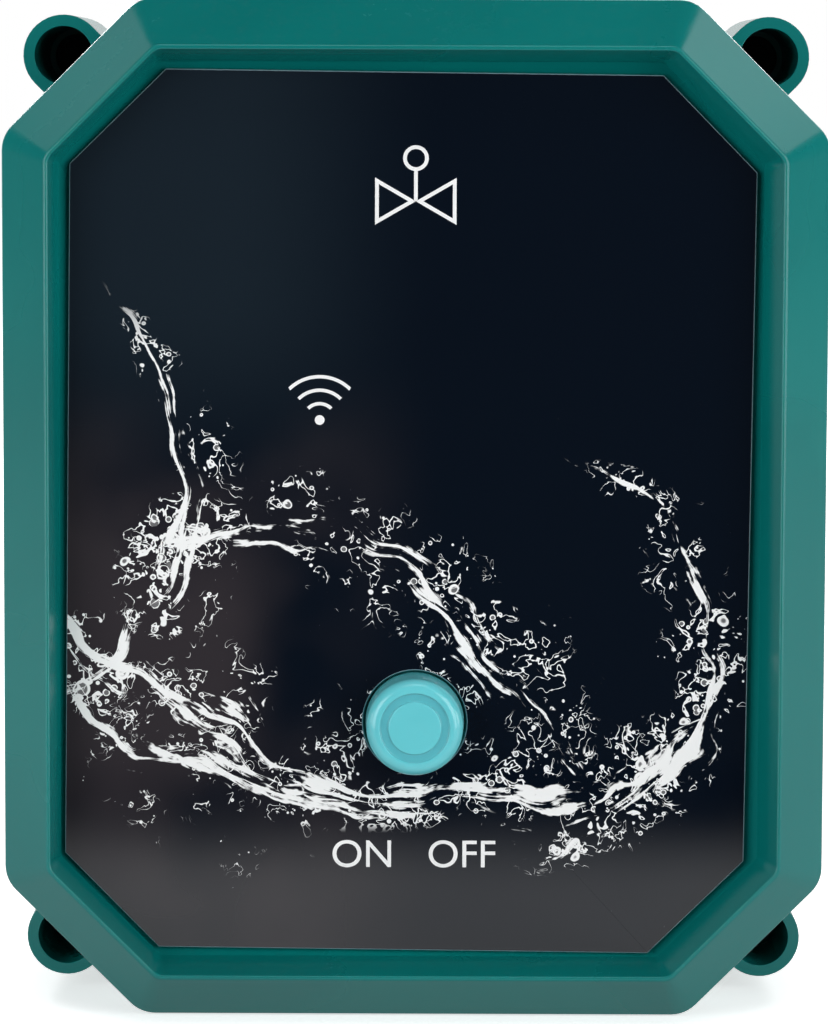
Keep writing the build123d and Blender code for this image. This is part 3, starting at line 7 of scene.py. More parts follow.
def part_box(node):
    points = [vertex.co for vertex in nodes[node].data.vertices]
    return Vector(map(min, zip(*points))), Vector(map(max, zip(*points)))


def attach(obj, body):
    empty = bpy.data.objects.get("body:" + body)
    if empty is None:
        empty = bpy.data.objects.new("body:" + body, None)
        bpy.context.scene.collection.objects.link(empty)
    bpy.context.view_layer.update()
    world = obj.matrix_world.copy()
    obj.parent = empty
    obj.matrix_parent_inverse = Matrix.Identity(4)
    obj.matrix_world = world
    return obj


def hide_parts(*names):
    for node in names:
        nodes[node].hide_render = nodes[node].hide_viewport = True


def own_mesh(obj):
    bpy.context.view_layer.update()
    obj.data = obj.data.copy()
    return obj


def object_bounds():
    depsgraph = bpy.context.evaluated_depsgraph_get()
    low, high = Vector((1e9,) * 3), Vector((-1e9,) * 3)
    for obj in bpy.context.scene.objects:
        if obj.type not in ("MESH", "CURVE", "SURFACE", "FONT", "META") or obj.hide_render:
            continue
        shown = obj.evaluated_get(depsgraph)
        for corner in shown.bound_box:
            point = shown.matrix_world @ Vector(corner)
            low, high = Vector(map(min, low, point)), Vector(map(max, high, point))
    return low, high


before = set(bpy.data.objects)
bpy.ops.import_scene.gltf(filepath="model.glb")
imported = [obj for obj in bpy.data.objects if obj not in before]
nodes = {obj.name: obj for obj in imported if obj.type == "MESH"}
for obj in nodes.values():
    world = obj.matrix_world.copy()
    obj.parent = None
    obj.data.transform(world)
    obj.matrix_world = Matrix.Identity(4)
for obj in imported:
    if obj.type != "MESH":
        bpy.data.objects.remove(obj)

solids_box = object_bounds()

# The studio: a pale floor just under the box, soft lights on both sides, and a camera that
# looks straight at the face from a little above, as the photograph does.
FACE_PLACE = Vector((-0.0001, -0.0742, 0.0))
CAMERA_DISTANCE = 0.600
CAMERA_RISE = radians(5.5)
CAMERA_ROLL = radians(0.2)
CAMERA_SENSOR = 36.0
CAMERA_NEAR = 0.01
CAMERA_FAR = 20.0
SEEN_HEIGHT = 0.1369
FLOOR_SIDE = 4.0
FLOOR_SHIFT = 1.70
FLOOR_DROP = 0.0002
FLOOR_TINT = (0.93, 0.93, 0.93, 1.0)
FLOOR_ROUGHNESS = 0.9
FLOOR_SHEEN = 0.1
FLOOR_GLOW = 0.66
FLOOR_FAR_GLOW = 1.10
FLOOR_FAR_FROM = 0.1
FLOOR_FAR_FULL = 0.8
FLOOR_SHOWN_FROM = -0.250
FLOOR_SHOWN_FULL = -0.170
FLOOR_HELD_BACK = 0.75
FLOOR_UNDER = 0.45
FLOOR_UNDER_FROM = -0.10
FLOOR_UNDER_FULL = -0.08
SHADE_TINT = (0.02, 0.02, 0.02, 1.0)
WORLD_PALE = (1.0, 1.0, 1.0, 1.0)
WORLD_DIM = (0.05, 0.055, 0.06, 1.0)
BACKDROP_FROM = 0.50
BACKDROP_FULL = 0.75


def wire(tree, kind, sockets=None, **settings):
    """A node in a tree, with its settings, and its sockets set or joined by name or number."""
    node = tree.nodes.new(kind)
    for key, value in settings.items():
        setattr(node, key, value)
    for socket, value in (sockets or {}).items():
        if isinstance(value, bpy.types.NodeSocket):
            tree.links.new(value, node.inputs[socket])
        else:
            node.inputs[socket].default_value = value
    return node


def soft_box(name, place, width, height, strength):
    """A soft area light at a place, turned to the box. Its strength is its brightness as seen."""
    bpy.ops.object.light_add(type="AREA", location=place)
    lamp = bpy.context.object
    lamp.name = name
    lamp.data.shape = "RECTANGLE"
    lamp.data.size = width
    lamp.data.size_y = height
    lamp.data.energy = strength * pi * width * height
    lamp.rotation_euler = (FACE_PLACE - Vector(place)).to_track_quat("-Z", "Y").to_euler()
    return lamp


bpy.ops.object.select_all(action="DESELECT")
bpy.ops.mesh.primitive_plane_add(size=1.0, location=(0.0, 0.0, 0.0))
floor = bpy.context.object
floor.name = "floor"
floor.scale = (FLOOR_SIDE, FLOOR_SIDE, 1.0)
floor.location = (0.0, FLOOR_SHIFT, solids_box[0].z - FLOOR_DROP)
bpy.ops.object.transform_apply(location=True, rotation=True, scale=True)
floor_paint = bpy.data.materials.new("floor_paint")
floor_paint.use_nodes = True
floor_shader = floor_paint.node_tree.nodes["Principled BSDF"]
floor_shader.inputs["Base Color"].default_value = FLOOR_TINT
floor_shader.inputs["Roughness"].default_value = FLOOR_ROUGHNESS
floor_shader.inputs["Specular IOR Level"].default_value = FLOOR_SHEEN
floor_shader.inputs["Emission Color"].default_value = FLOOR_TINT
# The floor glows more toward the horizon. Lit surfaces see a darker floor, and mirrored views see
# it end in front of the box and dim from the box backwards
floor_tree = floor_paint.node_tree
floor_ray = wire(floor_tree, "ShaderNodeLightPath").outputs
floor_spot = wire(floor_tree, "ShaderNodeNewGeometry").outputs["Position"]
floor_depth = wire(floor_tree, "ShaderNodeSeparateXYZ", {0: floor_spot}).outputs["Y"]
far_limits = {
    "Value": floor_depth,
    "From Min": FLOOR_FAR_FROM,
    "From Max": FLOOR_FAR_FULL,
    "To Min": FLOOR_GLOW,
    "To Max": FLOOR_FAR_GLOW,
}
far_glow = wire(floor_tree, "ShaderNodeMapRange", far_limits).outputs["Result"]
floor_tree.links.new(far_glow, floor_shader.inputs["Emission Strength"])
floor_limits = {"Value": floor_depth, "From Min": FLOOR_SHOWN_FULL, "From Max": FLOOR_SHOWN_FROM}
floor_end = wire(
    floor_tree, "ShaderNodeMapRange", floor_limits, interpolation_type="SMOOTHSTEP"
).outputs["Result"]
under_limits = {
    "Value": floor_depth, "From Min": FLOOR_UNDER_FROM, "From Max": FLOOR_UNDER_FULL, "To Max": FLOOR_UNDER
}
floor_under = wire(
    floor_tree, "ShaderNodeMapRange", under_limits, interpolation_type="SMOOTHSTEP"
).outputs["Result"]
away = wire(floor_tree, "ShaderNodeMath", {0: floor_end, 1: floor_under}, operation="ADD").outputs[0]
mirrored = wire(
    floor_tree, "ShaderNodeMath", {0: floor_ray["Is Glossy Ray"], 1: away}, operation="MULTIPLY"
).outputs[0]
held = wire(
    floor_tree,
    "ShaderNodeMath",
    {0: floor_ray["Is Diffuse Ray"], 1: FLOOR_HELD_BACK, 2: mirrored},
    operation="MULTIPLY_ADD",
).outputs[0]
shade_card = wire(floor_tree, "ShaderNodeBsdfDiffuse", {"Color": SHADE_TINT})
floor_mix = wire(
    floor_tree, "ShaderNodeMixShader", {0: held, 1: floor_shader.outputs[0], 2: shade_card.outputs[0]}
)
floor_tree.links.new(floor_mix.outputs[0], floor_tree.nodes["Material Output"].inputs["Surface"])
floor.data.materials.append(floor_paint)

soft_box("key_right", (0.66, -0.82, 0.16), 0.62, 0.80, 4.1)
soft_box("fill_left", (-0.66, -0.82, 0.16), 0.56, 0.70, 4.1)
soft_box("front_high", (0.0, -0.52, 0.84), 0.56, 0.28, 2.7)
soft_box("edge_right", (0.90, -0.30, 0.04), 0.40, 0.36, 4.2)
soft_box("edge_left", (-0.90, -0.30, 0.04), 0.40, 0.30, 3.0)
soft_box("upper_right", (0.66, 0.16, 0.66), 0.24, 0.24, 2.6)
soft_box("upper_left", (-0.66, 0.16, 0.66), 0.24, 0.24, 1.2)
soft_box("rear_right", (0.44, 0.74, 0.50), 0.24, 0.24, 14.0)
soft_box("rear_left", (-0.44, 0.74, 0.50), 0.24, 0.24, 18.0)
over_floor = soft_box("over_floor", (0.0, 1.10, 0.60), 1.80, 0.80, 1.4)
over_floor.rotation_euler = (0.0, 0.0, 0.0)

world = bpy.data.worlds.new("studio")
bpy.context.scene.world = world
world.use_nodes = True
air = world.node_tree
air.nodes.clear()
seen = wire(air, "ShaderNodeLightPath")
pale = wire(air, "ShaderNodeBackground", {"Color": WORLD_PALE, "Strength": 1.0})
dim = wire(air, "ShaderNodeBackground", {"Color": WORLD_DIM, "Strength": 1.0})
# Mirrored views toward the back see the pale backdrop, which gives the outer edges a light line
toward = wire(air, "ShaderNodeTexCoord").outputs["Generated"]
depth_toward = wire(air, "ShaderNodeSeparateXYZ", {0: toward}).outputs["Y"]
backdrop_limits = {"Value": depth_toward, "From Min": BACKDROP_FROM, "From Max": BACKDROP_FULL}
backdrop = wire(
    air, "ShaderNodeMapRange", backdrop_limits, interpolation_type="SMOOTHSTEP"
).outputs["Result"]
shown = wire(
    air,
    "ShaderNodeMath",
    {0: seen.outputs["Is Glossy Ray"], 1: backdrop, 2: seen.outputs["Is Camera Ray"]},
    operation="MULTIPLY_ADD",
)
both = wire(air, "ShaderNodeMixShader", {0: shown.outputs[0], 1: dim.outputs[0], 2: pale.outputs[0]})
wire(air, "ShaderNodeOutputWorld", {"Surface": both.outputs[0]})

bpy.ops.object.camera_add()
camera = bpy.context.object
camera.name = "camera"
camera.location = FACE_PLACE + CAMERA_DISTANCE * Vector((0.0, -cos(CAMERA_RISE), sin(CAMERA_RISE)))
aim = (FACE_PLACE - camera.location).to_track_quat("-Z", "Y")
camera.rotation_mode = "QUATERNION"
camera.rotation_quaternion = aim @ Quaternion((0.0, 0.0, 1.0), CAMERA_ROLL)
camera.data.sensor_width = CAMERA_SENSOR
camera.data.lens = CAMERA_SENSOR * CAMERA_DISTANCE / SEEN_HEIGHT
camera.data.clip_start = CAMERA_NEAR
camera.data.clip_end = CAMERA_FAR
bpy.context.scene.camera = camera
bpy.context.scene.view_settings.view_transform = "Standard"
bpy.context.scene.view_settings.look = "None"

# Front cover and rear case: two injection mouldings in the same satin teal plastic. The cover
# screws down on the case from behind, and the case carries the four mounting ears.
TEAL = (0.001, 0.198, 0.186)
TEAL_DEEP = (0.001, 0.174, 0.165)
TEAL_RUBBED = (0.04, 0.34, 0.32)
TEAL_SHEEN = 0.38
COVER_EDGE = 0.00024
COVER_FRONT = -0.0741
COVER_FLOOR = -0.0747
HIDDEN_EDGE = 0.4
CASE_EDGE = 0.0003
SHARP = 25.0
FLAT = 0.4
SAME_PLACE = 0.000002
SAME_DEPTH = 0.00005
RUB_FACING = (0.97, 0.80)
RUB_PATCHES = (0.42, 0.62)
DUST_TONE = (0.55, 0.53, 0.50)
DUST_FACING = (0.2, 0.95)
DUST_SPECKS = (0.45, 0.75)
DUST_ROUGHENS = 0.5
FLOW_CLOUDS = (0.35, 0.65)
FLOW_GLOSS = 0.10
GRAIN_STRENGTH = 0.6


def shared_effect(name, inputs, outputs):
    """An empty shader node group with its named sockets, and its inner input and output nodes."""
    effect = bpy.data.node_groups.new(name, "ShaderNodeTree")
    for label, kind, value in inputs:
        socket = effect.interface.new_socket(label, in_out="INPUT", socket_type=kind)
        if value is not None:
            socket.default_value = value
    for label, kind in outputs:
        effect.interface.new_socket(label, in_out="OUTPUT", socket_type=kind)
    return effect, effect.nodes.new("NodeGroupInput"), effect.nodes.new("NodeGroupOutput")


def reckon(tree, operation, first, second=0.0, third=0.0, clamp=False):
    """The result of a sum on one to three values, each a number or a socket."""
    node = wire(tree, "ShaderNodeMath", {0: first, 1: second, 2: third}, operation=operation)
    node.use_clamp = clamp
    return node.outputs[0]


def eased(tree, value, low, high, start=0.0, end=1.0):
    """A value that goes smoothly from start to end between two limits."""
    sockets = {"Value": value, "From Min": low, "From Max": high, "To Min": start, "To Max": end}
    return wire(tree, "ShaderNodeMapRange", sockets, interpolation_type="SMOOTHSTEP").outputs["Result"]


skin, skin_in, skin_out = shared_effect(
    "moulded_skin",
    [
        ("Place", "NodeSocketVector", None),
        ("Flow Scale", "NodeSocketFloat", 40.0),
        ("Grain Scale", "NodeSocketFloat", 2600.0),
    ],
    [("Flow", "NodeSocketFloat"), ("Grain", "NodeSocketFloat")],
)
flow = wire(
    skin,
    "ShaderNodeTexNoise",
    {"Vector": skin_in.outputs[0], "Scale": skin_in.outputs[1], "Detail": 3.0, "Distortion": 0.6},
)
grain = wire(
    skin, "ShaderNodeTexNoise", {"Vector": skin_in.outputs[0], "Scale": skin_in.outputs[2], "Detail": 2.0}
)
skin.links.new(flow.outputs["Fac"], skin_out.inputs["Flow"])
skin.links.new(grain.outputs["Fac"], skin_out.inputs["Grain"])

rub, rub_in, rub_out = shared_effect(
    "rubbed_edges",
    [
        ("Place", "NodeSocketVector", None),
        ("Width", "NodeSocketFloat", 0.0003),
        ("Amount", "NodeSocketFloat", 0.5),
    ],
    [("Edge", "NodeSocketFloat")],
)
around = wire(rub, "ShaderNodeBevel", {"Radius": rub_in.outputs[1]}, samples=4)
facing = wire(rub, "ShaderNodeNewGeometry")
match = wire(
    rub,
    "ShaderNodeVectorMath",
    {0: around.outputs[0], 1: facing.outputs["Normal"]},
    operation="DOT_PRODUCT",
)
turned_away = eased(rub, match.outputs["Value"], *RUB_FACING)
patches = wire(rub, "ShaderNodeTexNoise", {"Vector": rub_in.outputs[0], "Scale": 350.0, "Detail": 4.0})
broken = eased(rub, patches.outputs["Fac"], *RUB_PATCHES)
rub.links.new(
    reckon(rub, "MULTIPLY", reckon(rub, "MULTIPLY", turned_away, broken), rub_in.outputs[2]),
    rub_out.inputs["Edge"],
)

dust, dust_in, dust_out = shared_effect(
    "settled_dust",
    [("Place", "NodeSocketVector", None), ("Amount", "NodeSocketFloat", 0.1)],
    [("Dust", "NodeSocketFloat")],
)
lie = wire(dust, "ShaderNodeNewGeometry")
upward = wire(dust, "ShaderNodeSeparateXYZ", {0: lie.outputs["Normal"]})
specks = wire(
    dust,
    "ShaderNodeTexNoise",
    {"Vector": dust_in.outputs[0], "Scale": 700.0, "Detail": 6.0, "Roughness": 0.7},
)
lying = reckon(
    dust,
    "MULTIPLY",
    eased(dust, upward.outputs["Z"], *DUST_FACING),
    eased(dust, specks.outputs["Fac"], *DUST_SPECKS),
)
dust.links.new(reckon(dust, "MULTIPLY", lying, dust_in.outputs[1]), dust_out.inputs["Dust"])


def shade(tree, first, second, share):
    """One colour going over into another by a share."""
    node = wire(tree, "ShaderNodeMix", {"Factor": share}, data_type="RGBA")
    for socket, value in ((node.inputs[6], first), (node.inputs[7], second)):
        if isinstance(value, bpy.types.NodeSocket):
            tree.links.new(value, socket)
        else:
            socket.default_value = (*value[:3], 1.0)
    return node.outputs[2]


def moulded(
    name,
    colour,
    deep,
    rubbed,
    roughness,
    flow=40.0,
    grain=2600.0,
    depth=0.000004,
    wear=0.4,
    dirt=0.12,
    **sockets,
):
    """Moulded plastic or rubber: faint flow clouds, a fine skin, rubbed edges and a little dust on top."""
    material = bpy.data.materials.new(name)
    material.use_nodes = True
    tree = material.node_tree
    shader = tree.nodes["Principled BSDF"]
    place = wire(tree, "ShaderNodeTexCoord").outputs["Object"]
    surface = wire(tree, "ShaderNodeGroup", {0: place, 1: flow, 2: grain}, node_tree=skin)
    edges = wire(tree, "ShaderNodeGroup", {0: place, "Amount": wear}, node_tree=rub)
    fallen = wire(tree, "ShaderNodeGroup", {0: place, "Amount": dirt}, node_tree=dust)
    tone = shade(tree, deep, colour, eased(tree, surface.outputs["Flow"], *FLOW_CLOUDS))
    tone = shade(tree, tone, rubbed, edges.outputs["Edge"])
    tone = shade(tree, tone, DUST_TONE, fallen.outputs["Dust"])
    tree.links.new(tone, shader.inputs["Base Color"])
    gloss = reckon(tree, "MULTIPLY_ADD", surface.outputs["Flow"], FLOW_GLOSS, roughness - FLOW_GLOSS / 2)
    gloss = reckon(tree, "MULTIPLY_ADD", fallen.outputs["Dust"], DUST_ROUGHENS, gloss)
    tree.links.new(gloss, shader.inputs["Roughness"])
    relief = wire(
        tree,
        "ShaderNodeBump",
        {"Strength": GRAIN_STRENGTH, "Distance": depth, "Height": surface.outputs["Grain"]},
    )
    tree.links.new(relief.outputs["Normal"], shader.inputs["Normal"])
    for socket, value in sockets.items():
        shader.inputs[socket.replace("_", " ")].default_value = value
    return material


def rounded_copy(node, name, edge, body, material, steps=3, angle=SHARP, front=None):
    """A merged copy of a solid, with its sharp edges rounded as moulding and machining leave them.
    Where a front is given, the edges behind it are rounded less, and the recess floor's own not at all."""
    piece = bpy.data.objects.new(name, nodes[node].data.copy())
    bpy.context.collection.objects.link(piece)
    bpy.ops.object.select_all(action="DESELECT")
    piece.select_set(True)
    bpy.context.view_layer.objects.active = piece
    if piece.data.has_custom_normals:
        bpy.ops.mesh.customdata_custom_splitnormals_clear()
    bpy.ops.object.mode_set(mode="EDIT")
    bpy.ops.mesh.select_all(action="SELECT")
    bpy.ops.mesh.remove_doubles(threshold=SAME_PLACE)
    bpy.ops.mesh.dissolve_limited(angle_limit=radians(FLAT))
    bpy.ops.object.mode_set(mode="OBJECT")
    bpy.ops.object.shade_smooth()
    bpy.ops.object.modifier_add(type="BEVEL")
    bevel = piece.modifiers[-1]
    bevel.width = edge
    bevel.segments = steps
    bevel.limit_method = "ANGLE"
    bevel.angle_limit = radians(angle)
    bevel.harden_normals = True
    bevel.miter_outer = "MITER_ARC"
    if front is not None:
        bpy.ops.object.mode_set(mode="EDIT")
        bpy.ops.mesh.select_mode(type="EDGE")
        bpy.ops.mesh.select_all(action="DESELECT")
        bpy.ops.mesh.edges_select_sharp(sharpness=radians(angle))
        bpy.ops.object.mode_set(mode="OBJECT")
        bpy.context.tool_settings.mesh_select_mode = (True, False, False)
        share = piece.data.attributes.new("bevel_weight_edge", "FLOAT", "EDGE")
        for line in piece.data.edges:
            ends = [piece.data.vertices[corner].co.y for corner in line.vertices]
            in_floor = all(abs(end - COVER_FLOOR) < SAME_DEPTH for end in ends)
            if line.select and not in_floor:
                share.data[line.index].value = 1.0 if max(ends) < front else HIDDEN_EDGE
        bevel.limit_method = "WEIGHT"
        bevel.use_clamp_overlap = False
    bpy.ops.object.modifier_apply(modifier=bevel.name)
    piece.data.materials.clear()
    piece.data.materials.append(material)
    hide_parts(node)
    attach(piece, body)


teal_plastic = moulded(
    "teal_plastic",
    TEAL,
    TEAL_DEEP,
    TEAL_RUBBED,
    0.27,
    flow=18.0,
    depth=0.000002,
    wear=0.15,
    dirt=0.012,
    Specular_IOR_Level=TEAL_SHEEN,
)
rounded_copy(
    "front_cover", "front_cover_rim", COVER_EDGE, "case", teal_plastic, front=COVER_FRONT
)
rounded_copy("rear_case", "rear_case_shell", CASE_EDGE, "case", teal_plastic)

# Fascia: a sheet of gloss black plastic with polished edges, stuck in the cover's recess with
# clear tape. A water pattern, a signal mark and the switch words are printed on its face. Brown and
# blue painted reflections tint the left of its face. Its pale cut edges are partly the sheet's own
# edge colour and partly a painted highlight.
FASCIA_EDGE = 0.00018
FASCIA_BLACK = (0.0010, 0.0034, 0.0085)
# The brown and blue tones are painted reflections of the room in the gloss, laid into the face's colour
FASCIA_REFLECTION_BROWN = (0.0300, 0.0255, 0.0300)
FASCIA_REFLECTION_BLUE = (0.0075, 0.0140, 0.0215)
# Cut edges: partly the sheet's own edge colour, partly a painted highlight along the polished edge
FASCIA_CUT_AND_HIGHLIGHT = (0.20, 0.30, 0.34)
INK_WHITE = (0.92, 0.93, 0.93)
FASCIA_ROUGHNESS = 0.04
SMEAR_ROUGHENS = 0.10
RIPPLE_STRENGTH = 0.15
RIPPLE_DEPTH = 0.00002
REFLECTIONS_LEFT = (4.0, -26.0)
REFLECTION_BROWN_BELOW = (22.0, 2.0)
REFLECTION_BROWN_BROKEN = (0.30, 0.56)
REFLECTION_BLUE_ABOVE = (0.0, 30.0)
FRONT_ONLY = (-0.95, -0.99)
TO_MILLIMETRES = (1000.0, 0.0, 1000.0)
STREAM_SWAY = 14.0
STREAM_SWELL = 0.7
STREAM_TIP = 0.05
STRAND_LENGTHWISE = 0.07
STRAND_CROSSWISE = 0.70
STRAND_CONTRAST = 6.5
STRAND_LEVEL = -2.75
STRAND_GLEAM = (0.36, 0.52, 0.35, 1.0)
RAGGED_CONTRAST = 3.0
RAGGED_LEVEL = -1.9
STREAM_EDGE = (-0.05, 0.22)
STREAM_ENDS = (0.02, 0.12)
SPRAY_REACH = (4.2, 0.8)
SPRAY_ENDS = (0.05, 0.3)
SPRAY_CLUSTERS = (0.44, 0.60)
LOOP_HAZE = (0.15, 0.35)
LOOP_LEVEL = 0.56
LOOP_WIDTH = 0.020
LOOP_SOFTNESS = 0.006
DROP_SIZES = ((0.95, 0.62), (0.36, 0.42))
DROP_CHANCE = (0.55, 1.0)
DROP_SHARE = 0.8
DROP_EDGE = (-0.02, 0.02)
DROP_HOLLOW = (0.16, 0.10, 0.15, 1.0)
PRINT_TOP = (34.0, 20.0)
OVER_WORDS = (-43.2, -41.6)
BESIDE_WORDS = (13.0, 16.0)
# Each stream of the print, in millimetres and radians: centre across and up, radius, half width,
# start and end of its arc, seed, and how much spray flies beside it
STREAMS = (
    (6.0, 27.0, 66.0, 4.6, -2.50, -0.95, 3.1, 1.0),
    (2.0, 40.0, 80.0, 2.2, -2.20, -1.45, 6.6, 0.8),
    (-24.0, -52.0, 49.0, 3.2, 0.30, 2.00, 7.7, 1.0),
    (12.0, -18.0, 28.0, 2.2, -1.4, 1.3, 11.3, 1.3),
    (-64.0, 4.0, 34.0, 2.4, -1.1, 0.9, 5.2, 1.5),
    (66.0, 34.0, 40.0, 1.6, 2.2, 3.1, 9.4, 1.4),
)
fascia_ink = bpy.data.materials.new("fascia_gloss")
fascia_ink.use_nodes = True
rounded_copy("fascia", "fascia_panel", FASCIA_EDGE, "case", fascia_ink)

streak, streak_in, streak_out = shared_effect(
    "water_streak",
    [
        ("Place", "NodeSocketVector", None),
        ("Centre X", "NodeSocketFloat", 0.0),
        ("Centre Z", "NodeSocketFloat", 0.0),
        ("Radius", "NodeSocketFloat", 30.0),
        ("Half Width", "NodeSocketFloat", 3.0),
        ("Start", "NodeSocketFloat", -1.0),
        ("End", "NodeSocketFloat", 1.0),
        ("Seed", "NodeSocketFloat", 0.0),
        ("Spray", "NodeSocketFloat", 1.0),
    ],
    [("Ink", "NodeSocketFloat")],
)
given = streak_in.outputs
apart = wire(streak, "ShaderNodeSeparateXYZ", {0: given["Place"]})
sway = wire(
    streak,
    "ShaderNodeTexNoise",
    {"Vector": given["Place"], "W": given["Seed"], "Scale": 0.06, "Detail": 2.0},
    noise_dimensions="4D",
)
across_x = reckon(streak, "SUBTRACT", apart.outputs["X"], given["Centre X"])
across_z = reckon(streak, "SUBTRACT", apart.outputs["Z"], given["Centre Z"])
squares = reckon(
    streak,
    "ADD",
    reckon(streak, "MULTIPLY", across_x, across_x),
    reckon(streak, "MULTIPLY", across_z, across_z),
)
reach = reckon(streak, "SQRT", squares)
angle = reckon(streak, "ARCTAN2", across_z, across_x)
off = reckon(
    streak,
    "ADD",
    reckon(streak, "SUBTRACT", reach, given["Radius"]),
    reckon(streak, "MULTIPLY_ADD", sway.outputs["Fac"], STREAM_SWAY, -STREAM_SWAY / 2),
)
along = reckon(streak, "MULTIPLY", angle, given["Radius"])
share = reckon(
    streak,
    "DIVIDE",
    reckon(streak, "SUBTRACT", angle, given["Start"]),
    reckon(streak, "SUBTRACT", given["End"], given["Start"]),
)
taper = reckon(
    streak, "SINE", reckon(streak, "MULTIPLY", reckon(streak, "POWER", share, STREAM_SWELL), pi), clamp=True
)
nearness = reckon(
    streak,
    "DIVIDE",
    reckon(streak, "ABSOLUTE", off),
    reckon(streak, "MULTIPLY", given["Half Width"], reckon(streak, "ADD", taper, STREAM_TIP)),
)

# The full stream: long strands that run together, with dark slits between them
stretched = wire(
    streak,
    "ShaderNodeCombineXYZ",
    {
        "X": reckon(streak, "MULTIPLY", along, STRAND_LENGTHWISE),
        "Y": reckon(streak, "MULTIPLY", off, STRAND_CROSSWISE),
        "Z": given["Seed"],
    },
)
strands = wire(
    streak,
    "ShaderNodeTexNoise",
    {"Vector": stretched.outputs[0], "Scale": 1.0, "Detail": 5.0, "Roughness": 0.58, "Distortion": 0.35},
)
swell = wire(
    streak,
    "ShaderNodeTexNoise",
    {"Vector": given["Place"], "W": given["Seed"], "Scale": 0.22, "Detail": 3.0, "Roughness": 0.7},
    noise_dimensions="4D",
)
raggedness = reckon(streak, "MULTIPLY_ADD", swell.outputs["Fac"], RAGGED_CONTRAST, RAGGED_LEVEL)
strand_tone = reckon(streak, "MULTIPLY_ADD", strands.outputs["Fac"], STRAND_CONTRAST, STRAND_LEVEL)
core = reckon(streak, "SUBTRACT", reckon(streak, "ADD", strand_tone, raggedness), nearness)
gleam = eased(streak, strands.outputs["Fac"], *STRAND_GLEAM)
lit_core = reckon(streak, "MULTIPLY", eased(streak, core, *STREAM_EDGE), gleam)
full = reckon(streak, "MULTIPLY", lit_core, eased(streak, taper, *STREAM_ENDS))

# Torn water beside the stream: closed loops and short threads, in clusters
torn = wire(
    streak,
    "ShaderNodeTexNoise",
    {
        "Vector": given["Place"],
        "W": given["Seed"],
        "Scale": 0.40,
        "Detail": 2.0,
        "Roughness": 0.55,
        "Distortion": 1.0,
    },
    noise_dimensions="4D",
)
clusters = wire(
    streak,
    "ShaderNodeTexNoise",
    {"Vector": given["Place"], "W": given["Seed"], "Scale": 0.13, "Detail": 3.0, "Roughness": 0.65},
    noise_dimensions="4D",
)
near = reckon(streak, "MULTIPLY", eased(streak, nearness, *SPRAY_REACH), eased(streak, taper, *SPRAY_ENDS))
clustered = reckon(streak, "MULTIPLY", near, eased(streak, clusters.outputs["Fac"], *SPRAY_CLUSTERS))
haze = reckon(streak, "MULTIPLY", clustered, given["Spray"])
thread = reckon(streak, "ABSOLUTE", reckon(streak, "SUBTRACT", torn.outputs["Fac"], LOOP_LEVEL))
width_here = reckon(streak, "MULTIPLY", haze, LOOP_WIDTH)
in_thread = eased(streak, reckon(streak, "SUBTRACT", thread, width_here), LOOP_SOFTNESS, -LOOP_SOFTNESS)
loops = reckon(streak, "MULTIPLY", in_thread, eased(streak, haze, *LOOP_HAZE))

# Drops: round, some of them hollow, fewer and smaller away from the stream
drops = None
for cells_across, size in DROP_SIZES:
    cells = wire(
        streak,
        "ShaderNodeTexVoronoi",
        {"Vector": given["Place"], "Scale": cells_across},
        voronoi_dimensions="3D",
    )
    chance = wire(streak, "ShaderNodeSeparateColor", {0: cells.outputs["Color"]})
    lucky = eased(streak, chance.outputs["Red"], *DROP_CHANCE)
    drop_size = reckon(streak, "MULTIPLY", lucky, size)
    wanted = reckon(streak, "MULTIPLY", drop_size, reckon(streak, "MULTIPLY", haze, DROP_SHARE))
    depth_in = reckon(streak, "SUBTRACT", wanted, cells.outputs["Distance"])
    drop = eased(streak, depth_in, *DROP_EDGE)
    hollow = eased(streak, depth_in, *DROP_HOLLOW)
    drop = reckon(streak, "MULTIPLY", drop, hollow)
    drops = drop if drops is None else reckon(streak, "MAXIMUM", drops, drop)
water = reckon(streak, "MAXIMUM", reckon(streak, "MAXIMUM", full, loops), drops)
within = reckon(
    streak, "MULTIPLY", reckon(streak, "GREATER_THAN", share, 0.0), reckon(streak, "LESS_THAN", share, 1.0)
)
streak.links.new(reckon(streak, "MULTIPLY", water, within, clamp=True), streak_out.inputs["Ink"])

ink_tree = fascia_ink.node_tree
ink_shader = ink_tree.nodes["Principled BSDF"]
ink_place = wire(ink_tree, "ShaderNodeTexCoord").outputs["Object"]
in_millimetres = wire(
    ink_tree, "ShaderNodeVectorMath", {0: ink_place, 1: TO_MILLIMETRES}, operation="MULTIPLY"
).outputs[0]
printed = None
for stream in STREAMS:
    sweep = wire(ink_tree, "ShaderNodeGroup", dict(enumerate((in_millimetres, *stream))), node_tree=streak)
    printed = sweep.outputs[0] if printed is None else reckon(
        ink_tree, "MAXIMUM", printed, sweep.outputs[0]
    )
place_on_face = wire(ink_tree, "ShaderNodeSeparateXYZ", {0: in_millimetres}).outputs
printed = reckon(ink_tree, "MULTIPLY", printed, eased(ink_tree, place_on_face["Z"], *PRINT_TOP))
over_words = eased(ink_tree, place_on_face["Z"], *OVER_WORDS)
beside_words = eased(ink_tree, reckon(ink_tree, "ABSOLUTE", place_on_face["X"]), *BESIDE_WORDS)
printed = reckon(ink_tree, "MULTIPLY", printed, reckon(ink_tree, "MAXIMUM", over_words, beside_words))
forward = wire(ink_tree, "ShaderNodeNewGeometry")
facing_y = wire(ink_tree, "ShaderNodeSeparateXYZ", {0: forward.outputs["Normal"]})
face_only = eased(ink_tree, facing_y.outputs["Y"], *FRONT_ONLY)
printed = reckon(ink_tree, "MULTIPLY", printed, face_only)
